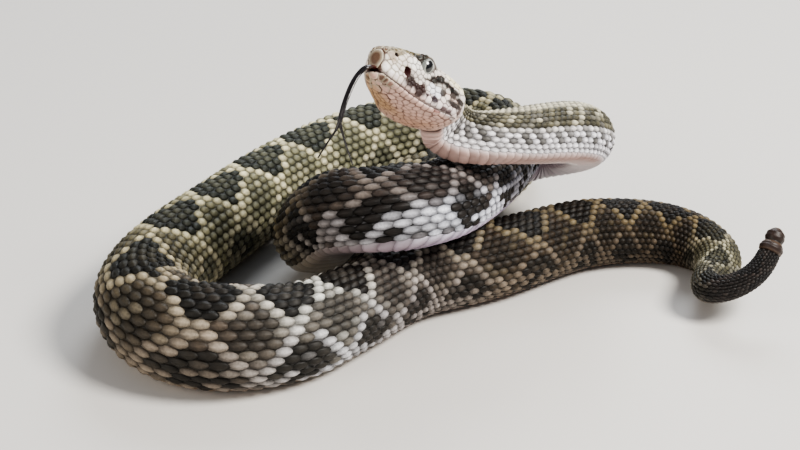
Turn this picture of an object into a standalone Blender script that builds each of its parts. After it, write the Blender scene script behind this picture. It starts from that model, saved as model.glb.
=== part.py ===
"""A young rattlesnake lying in a loose pile of coils, head raised and tongue out.

All sizes are in millimetres until the last step of mesh_object(), which stores metres.
+Z is up, the head faces -X and -Y, and the row rests on Z = 0.
"""

import math

import bmesh
import bpy
import numpy as np
from mathutils import Matrix, Vector

# ------------------------------------------------------------------ driving dimensions (mm)
ORIGIN = (59.5744, 71.8776)      # middle of the plan outline, moved to X = Y = 0
GAP = 0.30                     # clear space between neighbouring lengths of the body
BELLY = 0.93                   # height of the spine line over the belly, as a share of the half-width
RIDGE = 0.035                  # how far the back's ridge stands up, as a share of the half-width
RING_SIDES = 20                # sides of each ring of the body
STEP = 1.5                     # spacing of the samples along the spine line
MOST_RING_STEP = 7.0           # widest spacing of the body's rings
MOST_RING_TURN = math.radians(15.0)

HEAD_LENGTH = 36.0             # snout to the joint with the neck
SNOUT_TIP = (40.80, 21.75, 90.92)
HEAD_HEADING = 51.0            # degrees from -X towards -Y
HEAD_PITCH = 42.0              # degrees, nose up
HEAD_ROLL = 12.0               # degrees, left cheek up
HEAD_SIDES = 28
JAW_END = 27.2                 # rear end of the lower jaw, behind the snout
EYE_RADIUS = 2.9
EYE_CENTRE = (14.3, 6.50, 2.95)  # behind the snout, sideways, up
EYE_CLEAR = 0.3
PIT = (7.4, 6.90, -1.55, 1.05)  # heat pit: behind the snout, sideways, up, radius
NOSTRIL = (3.6, 4.9, 1.60, 0.65)
TONGUE_NOTCH = (-3.9, 1.45, 7.0)  # notch under the snout: height of its axis, radius, depth

RATTLE_LENGTH = 8.2

# Spine line from the neck's joint to the rattle: x, y, height, half-width, lean of the back
# towards +Y in degrees. A height of None lies on the ground.
NECK = (
    (57.64, 42.54, 66.83, 6.8, 0),
    (60.7, 46.3, 62.4, 6.6, 8),
    (62.0, 45.4, 57.8, 6.8, 18),
    (66.8, 42.3, 56.8, 7.2, 28),
    (75.5, 43.4, 56.0, 8.0, 36),
    (87.0, 51.0, 53.2, 9.0, 42),
    (97.2, 60.0, 49.7, 9.5, 42),
    (102.8, 69.5, 44.5, 9.6, 42),
    (104.0, 80.0, 38.0, 9.6, 45),
)
# Slack skin of the throat: distance along the spine line, extra depth under the belly side.
THROAT = ((0.0, 2.4), (4.0, 4.4), (8.0, 5.0), (12.0, 3.6), (17.0, 1.2), (25.0, 0.0))
RAISED_COIL = (
    (100.6, 89.0, 32.0, 9.7, 50),
    (92.5, 93.5, 28.8, 9.9, 54),
    (84.6, 91.0, 28.2, 10.2, 57),
    (79.6, 84.0, 28.8, 10.5, 58),
    (76.6, 74.5, 30.6, 11.0, 56),
    (72.0, 61.5, 33.8, 11.6, 52),
    (66.5, 48.5, 36.6, 12.0, 46),
    (59.0, 37.5, 37.8, 12.4, 42),
    (51.0, 31.0, 39.4, 12.7, 38),
    (42.5, 29.4, 39.2, 12.8, 32),
    (33.5, 33.0, 37.2, 12.8, 24),
    (27.0, 41.0, 32.0, 12.9, 16),
    (22.8, 48.0, 23.5, 13.1, 8),
    (21.0, 56.0, 17.8, 13.3, 2),
)
INNER_COIL = (
    (24.0, 65.0, 14.6, 13.4, 0),
    (31.5, 74.5, None, 13.5, 0),
    (44.5, 83.0, None, 13.6, 0),
    (57.5, 93.5, None, 13.6, 0),
    (69.5, 104.5, None, 13.6, 0),
    (78.5, 114.0, None, 13.6, 0),
    (82.5, 123.5, None, 13.6, 0),
    (82.5, 132.8, None, 13.5, 0),
    (77.8, 141.0, None, 13.4, 0),
    (68.5, 144.8, None, 13.4, 0),
)
OUTER_COIL = (
    (56.5, 142.8, None, 13.5, 0),
    (43.5, 135.5, None, 13.4, 0),
    (31.5, 127.5, None, 13.4, 0),
    (20.0, 116.5, None, 13.4, 0),
    (10.0, 104.0, None, 13.5, 0),
    (1.0, 90.5, None, 13.7, 0),
    (-7.0, 75.5, None, 14.0, 0),
    (-15.5, 60.5, None, 14.3, 0),
    (-22.5, 46.0, None, 14.6, 0),
    (-26.5, 32.5, None, 14.9, 0),
    (-26.5, 20.5, None, 15.2, 0),
    (-21.5, 10.5, None, 15.4, 0),
    (-13.5, 4.0, None, 15.4, 0),
    (-2.0, 1.0, None, 15.4, 0),
    (10.0, 3.0, None, 14.8, 0),
    (21.0, 8.5, None, 13.9, 0),
)
REAR_BODY = (
    (29.0, 17.0, None, 13.1, 0),
    (36.8, 25.0, None, 12.7, 0),
    (44.0, 33.8, None, 12.5, 0),
    (52.0, 41.0, None, 12.4, 0),
    (64.5, 46.5, None, 12.3, 0),
    (77.5, 53.0, None, 12.1, 0),
    (91.0, 62.5, None, 11.5, 0),
    (103.5, 70.0, None, 11.0, 0),
    (116.5, 73.0, None, 10.4, 0),
    (129.4, 72.8, None, 9.8, 0),
    (139.6, 68.5, None, 8.9, 0),
)
TAIL = (
    (144.9, 60.8, 7.4, 7.9, 0),
    (144.4, 52.0, 7.2, 6.8, 0),
    (139.3, 43.0, 8.2, 5.6, 0),
    (137.5, 36.5, 9.8, 4.7, 0),
    (141.6, 32.4, 11.2, 4.1, 0),
    (147.6, 32.4, 13.7, 3.8, 0),
    (152.4, 33.8, 16.4, 3.7, 0),
    (155.4, 36.8, 19.4, 3.6, 0),
    (156.8, 39.4, 22.4, 3.3, 0),
    (158.6, 42.8, 26.6, 3.0, 0),
)

# Named lengths of the body, each from the end of the one before it to this distance along the
# spine line from the neck's joint. None of them bends as far round as a U.
LENGTHS = (
    ("neck_front", 38.0),
    ("neck_bend", 80.0),
    ("neck_rear", 124.0),
    ("trunk_01", 166.0),
    ("trunk_02", 205.0),
    ("trunk_03", 236.0),
    ("trunk_04", 282.0),
    ("trunk_05", 326.0),
    ("trunk_06", 372.0),
    ("trunk_07", 430.0),
    ("trunk_08", 486.0),
    ("trunk_09", 522.0),
    ("trunk_10", 572.0),
    ("trunk_11", 612.0),
    ("trunk_12", 664.0),
    ("trunk_13", 716.0),
    ("tail_base", 744.0),
    ("tail_tip", None),
)

# Head sections: behind the snout, half-width, top, height of the widest line, underside,
# roundness of the top, roundness of the underside (1 is a diamond's edge, 0.5 is boxy).
HEAD_SECTIONS = (
    (0.0, 2.4, 2.1, -0.8, -4.0, 0.70, 0.60),
    (0.5, 3.2, 2.7, -1.1, -5.2, 0.64, 0.66),
    (1.5, 4.0, 3.3, -1.5, -6.6, 0.58, 0.72),
    (3.0, 4.8, 4.1, -1.9, -7.6, 0.54, 0.76),
    (6.0, 6.1, 4.9, -2.4, -8.6, 0.52, 0.80),
    (9.0, 7.2, 5.6, -2.8, -9.2, 0.52, 0.80),
    (11.5, 7.9, 6.0, -3.0, -9.5, 0.53, 0.80),
    (13.5, 8.5, 6.3, -3.1, -9.7, 0.54, 0.80),
    (16.0, 9.3, 6.4, -3.2, -9.9, 0.56, 0.80),
    (19.0, 10.3, 6.2, -3.3, -10.0, 0.60, 0.80),
    (23.0, 11.7, 6.1, -3.3, -10.0, 0.66, 0.82),
    (27.0, 12.7, 6.0, -3.0, -9.9, 0.72, 0.84),
    (30.0, 12.8, 6.0, -2.5, -9.7, 0.78, 0.88),
    (32.5, 11.4, 6.1, -1.8, -9.3, 0.86, 0.92),
    (34.5, 9.0, 6.4, -0.9, -8.9, 0.94, 0.96),
    (36.0, 6.8, 7.0, 0.0, -8.4, 1.00, 1.00),
)
# Mouth line along the upper lips: behind the snout, height.
MOUTH_LINE = (
    (-2.0, -3.9), (0.0, -3.9), (1.5, -4.3), (3.5, -4.8), (6.0, -5.2), (11.0, -6.0), (17.5, -6.5),
    (23.5, -6.4), (27.5, -6.1),
)
# Lower jaw, hanging a little open: behind the snout, half-width, top, underside.
JAW_SECTIONS = (
    (0.9, 1.1, -4.95, -5.6),
    (1.4, 1.8, -4.90, -6.1),
    (2.3, 2.5, -5.00, -6.6),
    (3.6, 3.2, -5.25, -7.0),
    (5.0, 3.9, -5.50, -7.35),
    (8.0, 5.1, -5.95, -7.9),
    (12.0, 6.5, -6.50, -8.5),
    (17.0, 8.3, -6.95, -9.1),
    (22.0, 10.1, -6.85, -9.4),
    (25.5, 11.3, -6.60, -9.5),
    (JAW_END, 11.6, -6.50, -9.6),
)
# Forked tongue: spine points in the row's own position before ORIGIN is taken off, and
# half-width; thickness is a share of the width.
TONGUE_STEM = (
    (42.1, 21.9, 84.5, 0.90),
    (40.7, 20.5, 87.4, 0.95),
    (39.5, 18.9, 88.7, 0.95),
    (38.1, 17.1, 89.2, 0.95),
    (36.2, 16.0, 87.8, 0.95),
    (34.6, 13.5, 86.1, 0.95),
    (32.6, 9.3, 82.5, 0.90),
    (31.2, 6.0, 78.3, 0.85),
)
TONGUE_TINES = (
    ((31.2, 6.0, 78.3, 0.85), (30.2, 4.8, 76.4, 0.50), (28.4, 3.4, 74.1, 0.38), (25.5, 0.6, 70.3, 0.26)),
    ((31.2, 6.0, 78.3, 0.85), (31.8, 4.8, 76.2, 0.50), (32.7, 3.4, 73.4, 0.38), (34.7, 0.6, 68.2, 0.26)),
)
TONGUE_THICKNESS = 0.55

COLOURS = {
    "skin": ((0.30, 0.25, 0.20, 1.0), 0.55),
    "neck": ((0.62, 0.58, 0.52, 1.0), 0.55),
    "head": ((0.58, 0.50, 0.42, 1.0), 0.50),
    "jaw": ((0.70, 0.55, 0.44, 1.0), 0.50),
    "tail": ((0.06, 0.05, 0.045, 1.0), 0.55),
    "rattle": ((0.16, 0.09, 0.06, 1.0), 0.45),
    "eye": ((0.05, 0.05, 0.055, 1.0), 0.08),
    "tongue": ((0.04, 0.02, 0.02, 1.0), 0.35),
}


# ------------------------------------------------------------------ scene and small helpers
def clear_scene():
    for obj in list(bpy.data.objects):
        bpy.data.objects.remove(obj, do_unlink=True)
    scene = bpy.context.scene
    scene.unit_settings.system = "METRIC"
    scene.unit_settings.scale_length = 1.0


def collection(name):
    made = bpy.data.collections.new(name)
    bpy.context.scene.collection.children.link(made)
    return made


def material(name, kind):
    colour, roughness = COLOURS[kind]
    mat = bpy.data.materials.new(name)
    mat.use_nodes = True
    shader = mat.node_tree.nodes["Principled BSDF"]
    shader.inputs["Base Color"].default_value = colour
    shader.inputs["Roughness"].default_value = roughness
    shader.inputs["Metallic"].default_value = 0.0
    mat.diffuse_color = colour
    return mat


def mesh_object(name, points_mm, faces, home, kind=None):
    """A closed mesh from points in millimetres, moved so that ORIGIN lies at X = Y = 0."""
    mesh = bpy.data.meshes.new(name)
    shift = Vector((ORIGIN[0], ORIGIN[1], 0.0))
    mesh.from_pydata([tuple((Vector(p) - shift) * 0.001) for p in points_mm], [], faces)
    work = bmesh.new()
    work.from_mesh(mesh)
    bmesh.ops.recalc_face_normals(work, faces=work.faces)
    work.to_mesh(mesh)
    work.free()
    for face in mesh.polygons:
        face.use_smooth = True
    obj = bpy.data.objects.new(name, mesh)
    home.objects.link(obj)
    if kind:
        mesh.materials.append(material(name + "_surface", kind))
    else:
        obj.hide_render = True
        obj.display_type = "WIRE"
    return obj


def boolean(obj, cutter, operation):
    """One Boolean step, made part of the mesh."""
    step = obj.modifiers.new(operation.title(), "BOOLEAN")
    step.operation = operation
    step.solver = "EXACT"
    step.object = cutter
    bpy.context.view_layer.update()
    graph = bpy.context.evaluated_depsgraph_get()
    made = bpy.data.meshes.new_from_object(obj.evaluated_get(graph))
    obj.modifiers.remove(step)
    old, obj.data = obj.data, made
    made.name = old.name
    bpy.data.meshes.remove(old)


def loft(rings):
    """Points and faces of a closed skin over rings of equal length, capped at both ends."""
    count = len(rings[0])
    points = [tuple(p) for ring in rings for p in ring]
    faces = []
    for i in range(len(rings) - 1):
        for j in range(count):
            k = (j + 1) % count
            faces.append((i * count + j, i * count + k, (i + 1) * count + k, (i + 1) * count + j))
    faces.append(tuple(range(count)))
    faces.append(tuple(range((len(rings) - 1) * count, len(rings) * count))[::-1])
    return points, faces


# ------------------------------------------------------------------ spine line
def spine_through(stations, step=STEP, smoothing=20):
    """Evenly spaced samples on a centripetal Catmull-Rom line through the stations."""
    rows = np.array(stations, float)
    ends = np.vstack([2 * rows[0] - rows[1], rows, 2 * rows[-1] - rows[-2]])
    made = []
    for i in range(1, len(ends) - 2):
        p0, p1, p2, p3 = ends[i - 1:i + 3]
        t0 = 0.0
        t1 = t0 + np.linalg.norm((p1 - p0)[:3]) ** 0.5
        t2 = t1 + np.linalg.norm((p2 - p1)[:3]) ** 0.5
        t3 = t2 + np.linalg.norm((p3 - p2)[:3]) ** 0.5
        for t in np.linspace(t1, t2, 16, endpoint=False):
            a1 = (t1 - t) / (t1 - t0) * p0 + (t - t0) / (t1 - t0) * p1
            a2 = (t2 - t) / (t2 - t1) * p1 + (t - t1) / (t2 - t1) * p2
            a3 = (t3 - t) / (t3 - t2) * p2 + (t - t2) / (t3 - t2) * p3
            b1 = (t2 - t) / (t2 - t0) * a1 + (t - t0) / (t2 - t0) * a2
            b2 = (t3 - t) / (t3 - t1) * a2 + (t - t1) / (t3 - t1) * a3
            made.append((t2 - t) / (t2 - t1) * b1 + (t - t1) / (t2 - t1) * b2)
    made.append(ends[-2])
    line = np.array(made)
    along = np.concatenate([[0.0], np.cumsum(np.linalg.norm(np.diff(line[:, :3], axis=0), axis=1))])
    even = np.linspace(0.0, along[-1], int(round(along[-1] / step)) + 1)
    line = np.column_stack([np.interp(even, along, line[:, k]) for k in range(line.shape[1])])
    for _ in range(smoothing):
        line[1:-1] = 0.5 * line[1:-1] + 0.25 * (line[:-2] + line[2:])
    return line


def head_axes():
    """Unit vectors ahead, to the animal's left, and up out of the crown."""
    heading, pitch, roll = (math.radians(x) for x in (HEAD_HEADING, HEAD_PITCH, HEAD_ROLL))
    ahead = np.array([-math.cos(heading) * math.cos(pitch), -math.sin(heading) * math.cos(pitch), math.sin(pitch)])
    left = np.cross([0.0, 0.0, 1.0], ahead)
    left /= np.linalg.norm(left)
    up = np.cross(ahead, left)
    return ahead, left * math.cos(roll) + up * math.sin(roll), up * math.cos(roll) - left * math.sin(roll)


def unit(v):
    return v / np.maximum(np.linalg.norm(v, axis=-1, keepdims=True), 1e-12)


class Spine:
    """The body's spine line: position, half-width, and the axes of the section at each distance."""

    def __init__(self):
        ahead, _, head_up = head_axes()
        rows = []
        for x, y, z, r, lean in NECK + RAISED_COIL + INNER_COIL + OUTER_COIL + REAR_BODY + TAIL:
            rows.append((x, y, BELLY * r if z is None else z, r, lean))
        joint = np.array(SNOUT_TIP) - HEAD_LENGTH * ahead
        rows[0] = (*joint, rows[0][3], 0.0)
        skull = joint + 4.0 * ahead
        line = spine_through([(*skull, rows[0][3], 0.0)] + rows)
        start = int(np.argmin(np.linalg.norm(line[:, :3] - joint, axis=1)))
        line = line[start:]
        line[0, :3] = joint
        self.at = line[:, :3]
        self.r = line[:, 3]
        lean = np.radians(line[:, 4])
        steps = np.linalg.norm(np.diff(self.at, axis=0), axis=1)
        self.s = np.concatenate([[0.0], np.cumsum(steps)])
        self.length = self.s[-1]
        along = np.gradient(self.at, axis=0)
        # Sections stand upright wherever the belly lies on the ground.
        lift = np.clip((self.at[:, 2] - BELLY * self.r) / 1.5, 0.0, 1.0)
        lift = lift * lift * (3 - 2 * lift)
        along[:, 2] *= lift
        along[0] = -ahead
        self.along = unit(along)
        # Carry the head's upright along the neck, then turn it to the wanted lean.
        up = np.zeros_like(self.at)
        up[0] = unit(head_up - self.along[0] * (head_up @ self.along[0]))
        for i in range(1, len(up)):
            up[i] = unit(up[i - 1] - self.along[i] * (up[i - 1] @ self.along[i]))
        wanted = np.column_stack([np.zeros(len(lean)), np.sin(lean), np.cos(lean)])
        wanted = unit(wanted - self.along * np.sum(wanted * self.along, axis=1, keepdims=True))
        side = np.cross(self.along, up)
        turn = np.arctan2(np.sum(wanted * side, axis=1), np.sum(wanted * up, axis=1))
        first = int(np.searchsorted(self.s, 34.0))
        turn[first:] = np.unwrap(turn[first:])
        ease = np.clip(self.s[:first] / 34.0, 0.0, 1.0)
        turn[:first] = turn[first] * ease * ease * (3 - 2 * ease)
        self.up = np.cos(turn)[:, None] * up + np.sin(turn)[:, None] * side
        self.left = np.cross(self.along, self.up)

    def frame(self, s):
        """Position, half-width and axes at distance s."""
        pick = lambda values: np.array([np.interp(s, self.s, values[:, k]) for k in range(3)])
        along = unit(pick(self.along))
        up = pick(self.up)
        up = unit(up - along * (up @ along))
        return pick(self.at), float(np.interp(s, self.s, self.r)), along, up, np.cross(along, up)

    def ring(self, s, sides=RING_SIDES, shrink=0.0, scale=1.0):
        """One ring of the body: a ridged back, full sides and a flat belly."""
        at, r, _, up, left = self.frame(s)
        slack = np.interp(s, *np.array(THROAT).T)
        ring = []
        for k in range(sides):
            angle = 2 * math.pi * k / sides
            ridge = 1 + RIDGE * math.exp(-(math.degrees(min(angle, 2 * math.pi - angle)) / 24.0) ** 2)
            y = (r - shrink) * scale * math.sin(angle)
            z = (r - shrink) * scale * max(math.cos(angle) * ridge, -BELLY)
            z *= 1 + slack / r if z < 0 else 1
            p = at + left * y + up * z
            p[2] = max(p[2], 0.0)
            ring.append(p)
        return ring

    def ring_places(self, start, end):
        """Distances of the rings of one length: closer together where it bends."""
        turn = np.linalg.norm(np.diff(self.along, axis=0), axis=1)
        need = np.concatenate([[0.0], np.cumsum(np.maximum(turn / MOST_RING_TURN, np.diff(self.s) / MOST_RING_STEP))])
        first, last = np.interp((start, end), self.s, need)
        count = max(2, int(math.ceil(last - first)))
        return np.interp(np.linspace(first, last, count + 1), need, self.s)


# ------------------------------------------------------------------ head
def head_profile(a):
    table = np.array(HEAD_SECTIONS)
    return [float(np.interp(a, table[:, 0], table[:, k])) for k in range(1, 7)]


def head_to_world(a, y, z):
    ahead, left, up = head_axes()
    return np.array(SNOUT_TIP) - a * ahead + y * left + z * up


def head_ring(a, sides=HEAD_SIDES):
    half, top, middle, under, round_top, round_under = head_profile(a)
    ring = []
    for k in range(sides):
        angle = 2 * math.pi * k / sides
        c, s = math.cos(angle), math.sin(angle)
        power = round_top if c >= 0 else round_under
        y = half * math.copysign(abs(s) ** power, s)
        z = middle + (top - middle if c >= 0 else middle - under) * math.copysign(abs(c) ** power, c)
        # Brow shield: a shelf over each eye.
        brow = math.exp(-((a - 14.8) / 3.6) ** 4) * math.exp(-((abs(y) - 6.4) / 1.8) ** 2) * (z > 3.5)
        z += 0.7 * brow
        y += math.copysign(0.3 * brow, y) if abs(y) > 0.5 else 0.0
        ring.append(head_to_world(a, y, z))
    return ring


def prism(name, outline, half_width, home):
    """A cutter: an outline in the head's (distance behind snout, height) plane, drawn out sideways."""
    left = [head_to_world(a, half_width, z) for a, z in outline]
    right = [head_to_world(a, -half_width, z) for a, z in outline]
    return mesh_object(name, *loft([left, right]), home)


def ball(name, centre, radius, home, kind=None, segments=18, rings=10):
    work = bmesh.new()
    bmesh.ops.create_uvsphere(work, u_segments=segments, v_segments=rings, radius=radius)
    ahead, left, up = head_axes()
    turn = Matrix((ahead, up, left)).transposed()   # the sphere's pole points sideways
    points = [np.array(centre) + np.array(turn @ v.co) for v in work.verts]
    faces = [tuple(v.index for v in f.verts) for f in work.faces]
    work.free()
    return mesh_object(name, points, faces, home, kind)


def jaw_ring(a, half, top, under, sides=HEAD_SIDES):
    """A flat-topped trough of the lower jaw."""
    ring = []
    for k in range(sides):
        angle = 2 * math.pi * k / sides
        c, s = math.cos(angle), math.sin(angle)
        y = half * math.copysign(abs(s) ** 0.95, s)
        z = top if c > -1e-9 else top - (top - under) * abs(c) ** 0.95
        ring.append(head_to_world(a, y, z))
    return ring


def build_head(home, helpers):
    places = [0.0, 0.5, 1.5, 3.0, 4.5, 6.0, 7.5, 9.0, 10.7, 12.2, 13.7, 15.2, 16.7, 18.2, 19.7, 22.0, 24.5, 27.0,
              28.7, 30.2, 31.5, 32.6, 33.7, 34.8, HEAD_LENGTH - GAP / 2]
    head = mesh_object("head", *loft([head_ring(a) for a in places]), home, "head")
    floor = -14.0
    rear = JAW_END + GAP
    cut = prism("mouth_cut", list(MOUTH_LINE[:-1]) + [(rear, MOUTH_LINE[-1][1]), (rear, floor), (-2.0, floor)], 16.0,
                helpers)
    boolean(head, cut, "DIFFERENCE")
    z, r, depth = TONGUE_NOTCH
    arch = []
    for a in (-2.0, depth):
        arch.append([head_to_world(a, r * math.cos(math.pi * k / 8), z + r * math.sin(math.pi * k / 8)) for k in range(9)]
                    + [head_to_world(a, -r, -9.0), head_to_world(a, r, -9.0)])
    boolean(head, mesh_object("tongue_notch", *loft(arch), helpers), "DIFFERENCE")
    table = np.array(JAW_SECTIONS)
    rings = []
    for a in (1.9, 2.3, 3.2, 4.2, 5.5, 7.5, 10.0, 12.5, 15.0, 18.0, 21.0, 24.0, JAW_END):
        rings.append(jaw_ring(a, *(float(np.interp(a, table[:, 0], table[:, k])) for k in (1, 2, 3))))
    jaw = mesh_object("lower_jaw", *loft(rings), home, "jaw")

    for side, word in ((1, "left"), (-1, "right")):
        a, y, z = EYE_CENTRE
        eye = ball("eye_" + word, head_to_world(a, side * y, z), EYE_RADIUS, home, "eye")
        socket = ball("socket_" + word, head_to_world(a, side * y, z), EYE_RADIUS + EYE_CLEAR, helpers)
        boolean(head, socket, "DIFFERENCE")
        a, y, z, r = PIT
        pit = ball("pit_" + word, head_to_world(a, side * y, z), r, helpers, None, 12, 8)
        boolean(head, pit, "DIFFERENCE")
        a, y, z, r = NOSTRIL
        nostril = ball("nostril_" + word, head_to_world(a, side * y, z), r, helpers, None, 10, 6)
        boolean(head, nostril, "DIFFERENCE")
    for obj in (head, jaw):
        for face in obj.data.polygons:
            face.use_smooth = True


# ------------------------------------------------------------------ tongue, body, rattle
def ribbon(points, sides, thickness, per=3):
    """Rings of a flattened cord through points that each carry a half-width."""
    line = spine_through(points, step=0.5, smoothing=2)
    along = unit(np.gradient(line[:, :3], axis=0))
    ahead, left, up = head_axes()
    rings = []
    for i in list(range(0, len(line) - 1, per)) + [len(line) - 1]:
        flat = unit(left - along[i] * (left @ along[i]))
        thick = np.cross(along[i], flat)
        w = line[i, 3]
        rings.append([line[i, :3] + flat * w * math.cos(2 * math.pi * k / sides)
                      + thick * max(w * thickness, 0.22) * math.sin(2 * math.pi * k / sides) for k in range(sides)])
    return rings


def build_tongue(home, helpers):
    tongue = mesh_object("tongue", *loft(ribbon(TONGUE_STEM, 8, TONGUE_THICKNESS, 6)), home, "tongue")
    for side, tine in zip(("left", "right"), TONGUE_TINES):
        back = np.array(TONGUE_STEM[-2]) * 0.25 + np.array(TONGUE_STEM[-1]) * 0.75
        points = [tuple(back * (1, 1, 1, 0) + (0, 0, 0, 0.62))] + [tuple(np.array(p) * (1, 1, 1, 0.8)) for p in tine]
        part = mesh_object("tine_" + side, *loft(ribbon(points, 6, 0.8, 5)), helpers)
        boolean(tongue, part, "UNION")
    for face in tongue.data.polygons:
        face.use_smooth = True


def build_body(spine, home):
    start = GAP / 2
    rattle_start = spine.length - RATTLE_LENGTH
    for name, end in LENGTHS:
        last = rattle_start if end is None else end
        places = spine.ring_places(start, last - GAP / 2)
        kind = "neck" if name.startswith("neck") else "tail" if name == "tail_tip" else "skin"
        mesh_object(name, *loft([spine.ring(s) for s in places]), home, kind)
        start = last + GAP / 2
    # Rattle: one loose segment and the button, each a lobe with a waist between them.
    shares = ((0.00, 0.86), (0.06, 1.06), (0.20, 1.12), (0.34, 1.04), (0.44, 0.82), (0.52, 0.90), (0.66, 0.98),
              (0.82, 0.88), (0.94, 0.58), (1.00, 0.30))
    rings = []
    for share, scale in shares:
        s = start + share * (spine.length - start)
        rings.append(spine.ring(s, sides=16, scale=scale))
    mesh_object("rattle", *loft(rings), home, "rattle")


def main():
    clear_scene()
    home = collection("rattlesnake")
    helpers = collection("cutters")
    helpers.hide_render = True
    build_head(home, helpers)
    build_tongue(home, helpers)
    build_body(Spine(), home)


main()
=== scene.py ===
"""The looks of a young rattlesnake, coiled with its head raised and its tongue out.

Positions are worked out in millimetres, in the same frame as the solids before their plan
outline was moved to the middle, and are turned into metres by metres().
"""

import math

import bpy
import numpy as np
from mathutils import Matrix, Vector
from mathutils.bvhtree import BVHTree

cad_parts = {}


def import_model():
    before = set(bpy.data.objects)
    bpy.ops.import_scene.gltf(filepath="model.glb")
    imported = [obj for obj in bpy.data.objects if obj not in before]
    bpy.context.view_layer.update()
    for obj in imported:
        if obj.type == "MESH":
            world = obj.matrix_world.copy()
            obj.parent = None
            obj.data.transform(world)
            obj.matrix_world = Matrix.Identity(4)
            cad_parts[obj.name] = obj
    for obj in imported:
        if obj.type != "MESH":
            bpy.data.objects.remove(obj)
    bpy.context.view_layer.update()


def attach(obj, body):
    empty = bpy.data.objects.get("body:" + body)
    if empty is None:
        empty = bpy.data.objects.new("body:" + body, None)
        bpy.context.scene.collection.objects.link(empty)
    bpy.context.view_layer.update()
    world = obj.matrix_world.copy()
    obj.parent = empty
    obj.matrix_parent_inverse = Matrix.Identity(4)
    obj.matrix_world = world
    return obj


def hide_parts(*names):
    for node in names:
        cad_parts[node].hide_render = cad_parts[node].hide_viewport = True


# ------------------------------------------------------------------ the animal's sizes (mm)
ORIGIN = (59.5744, 71.8776)      # middle of the plan outline, moved to X = Y = 0
GAP = 0.30                     # clear space between neighbouring lengths of the body
BELLY = 0.93                   # height of the spine line over the belly, as a share of the half-width
RIDGE = 0.035                  # how far the back's ridge stands up, as a share of the half-width
RING_SIDES = 20                # sides of each ring of the body
STEP = 1.5                     # spacing of the samples along the spine line
MOST_RING_STEP = 7.0           # widest spacing of the body's rings
MOST_RING_TURN = math.radians(15.0)

HEAD_LENGTH = 36.0             # snout to the joint with the neck
SNOUT_TIP = (40.80, 21.75, 90.92)
HEAD_HEADING = 51.0            # degrees from -X towards -Y
HEAD_PITCH = 42.0              # degrees, nose up
HEAD_ROLL = 12.0               # degrees, left cheek up
HEAD_SIDES = 28
JAW_END = 27.2                 # rear end of the lower jaw, behind the snout
EYE_RADIUS = 2.9
EYE_CENTRE = (14.3, 6.50, 2.95)  # behind the snout, sideways, up
EYE_CLEAR = 0.3
PIT = (7.4, 6.90, -1.55, 1.05)  # heat pit: behind the snout, sideways, up, radius
NOSTRIL = (3.6, 4.9, 1.60, 0.65)
TONGUE_NOTCH = (-3.9, 1.45, 7.0)  # notch under the snout: height of its axis, radius, depth

RATTLE_LENGTH = 8.2

# Spine line from the neck's joint to the rattle: x, y, height, half-width, lean of the back
# towards +Y in degrees. A height of None lies on the ground.
NECK = (
    (57.64, 42.54, 66.83, 6.8, 0),
    (60.7, 46.3, 62.4, 6.6, 8),
    (62.0, 45.4, 57.8, 6.8, 18),
    (66.8, 42.3, 56.8, 7.2, 28),
    (75.5, 43.4, 56.0, 8.0, 36),
    (87.0, 51.0, 53.2, 9.0, 42),
    (97.2, 60.0, 49.7, 9.5, 42),
    (102.8, 69.5, 44.5, 9.6, 42),
    (104.0, 80.0, 38.0, 9.6, 45),
)
# Slack skin of the throat: distance along the spine line, extra depth under the belly side.
THROAT = ((0.0, 2.4), (4.0, 4.4), (8.0, 5.0), (12.0, 3.6), (17.0, 1.2), (25.0, 0.0))
RAISED_COIL = (
    (100.6, 89.0, 32.0, 9.7, 50),
    (92.5, 93.5, 28.8, 9.9, 54),
    (84.6, 91.0, 28.2, 10.2, 57),
    (79.6, 84.0, 28.8, 10.5, 58),
    (76.6, 74.5, 30.6, 11.0, 56),
    (72.0, 61.5, 33.8, 11.6, 52),
    (66.5, 48.5, 36.6, 12.0, 46),
    (59.0, 37.5, 37.8, 12.4, 42),
    (51.0, 31.0, 39.4, 12.7, 38),
    (42.5, 29.4, 39.2, 12.8, 32),
    (33.5, 33.0, 37.2, 12.8, 24),
    (27.0, 41.0, 32.0, 12.9, 16),
    (22.8, 48.0, 23.5, 13.1, 8),
    (21.0, 56.0, 17.8, 13.3, 2),
)
INNER_COIL = (
    (24.0, 65.0, 14.6, 13.4, 0),
    (31.5, 74.5, None, 13.5, 0),
    (44.5, 83.0, None, 13.6, 0),
    (57.5, 93.5, None, 13.6, 0),
    (69.5, 104.5, None, 13.6, 0),
    (78.5, 114.0, None, 13.6, 0),
    (82.5, 123.5, None, 13.6, 0),
    (82.5, 132.8, None, 13.5, 0),
    (77.8, 141.0, None, 13.4, 0),
    (68.5, 144.8, None, 13.4, 0),
)
OUTER_COIL = (
    (56.5, 142.8, None, 13.5, 0),
    (43.5, 135.5, None, 13.4, 0),
    (31.5, 127.5, None, 13.4, 0),
    (20.0, 116.5, None, 13.4, 0),
    (10.0, 104.0, None, 13.5, 0),
    (1.0, 90.5, None, 13.7, 0),
    (-7.0, 75.5, None, 14.0, 0),
    (-15.5, 60.5, None, 14.3, 0),
    (-22.5, 46.0, None, 14.6, 0),
    (-26.5, 32.5, None, 14.9, 0),
    (-26.5, 20.5, None, 15.2, 0),
    (-21.5, 10.5, None, 15.4, 0),
    (-13.5, 4.0, None, 15.4, 0),
    (-2.0, 1.0, None, 15.4, 0),
    (10.0, 3.0, None, 14.8, 0),
    (21.0, 8.5, None, 13.9, 0),
)
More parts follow.
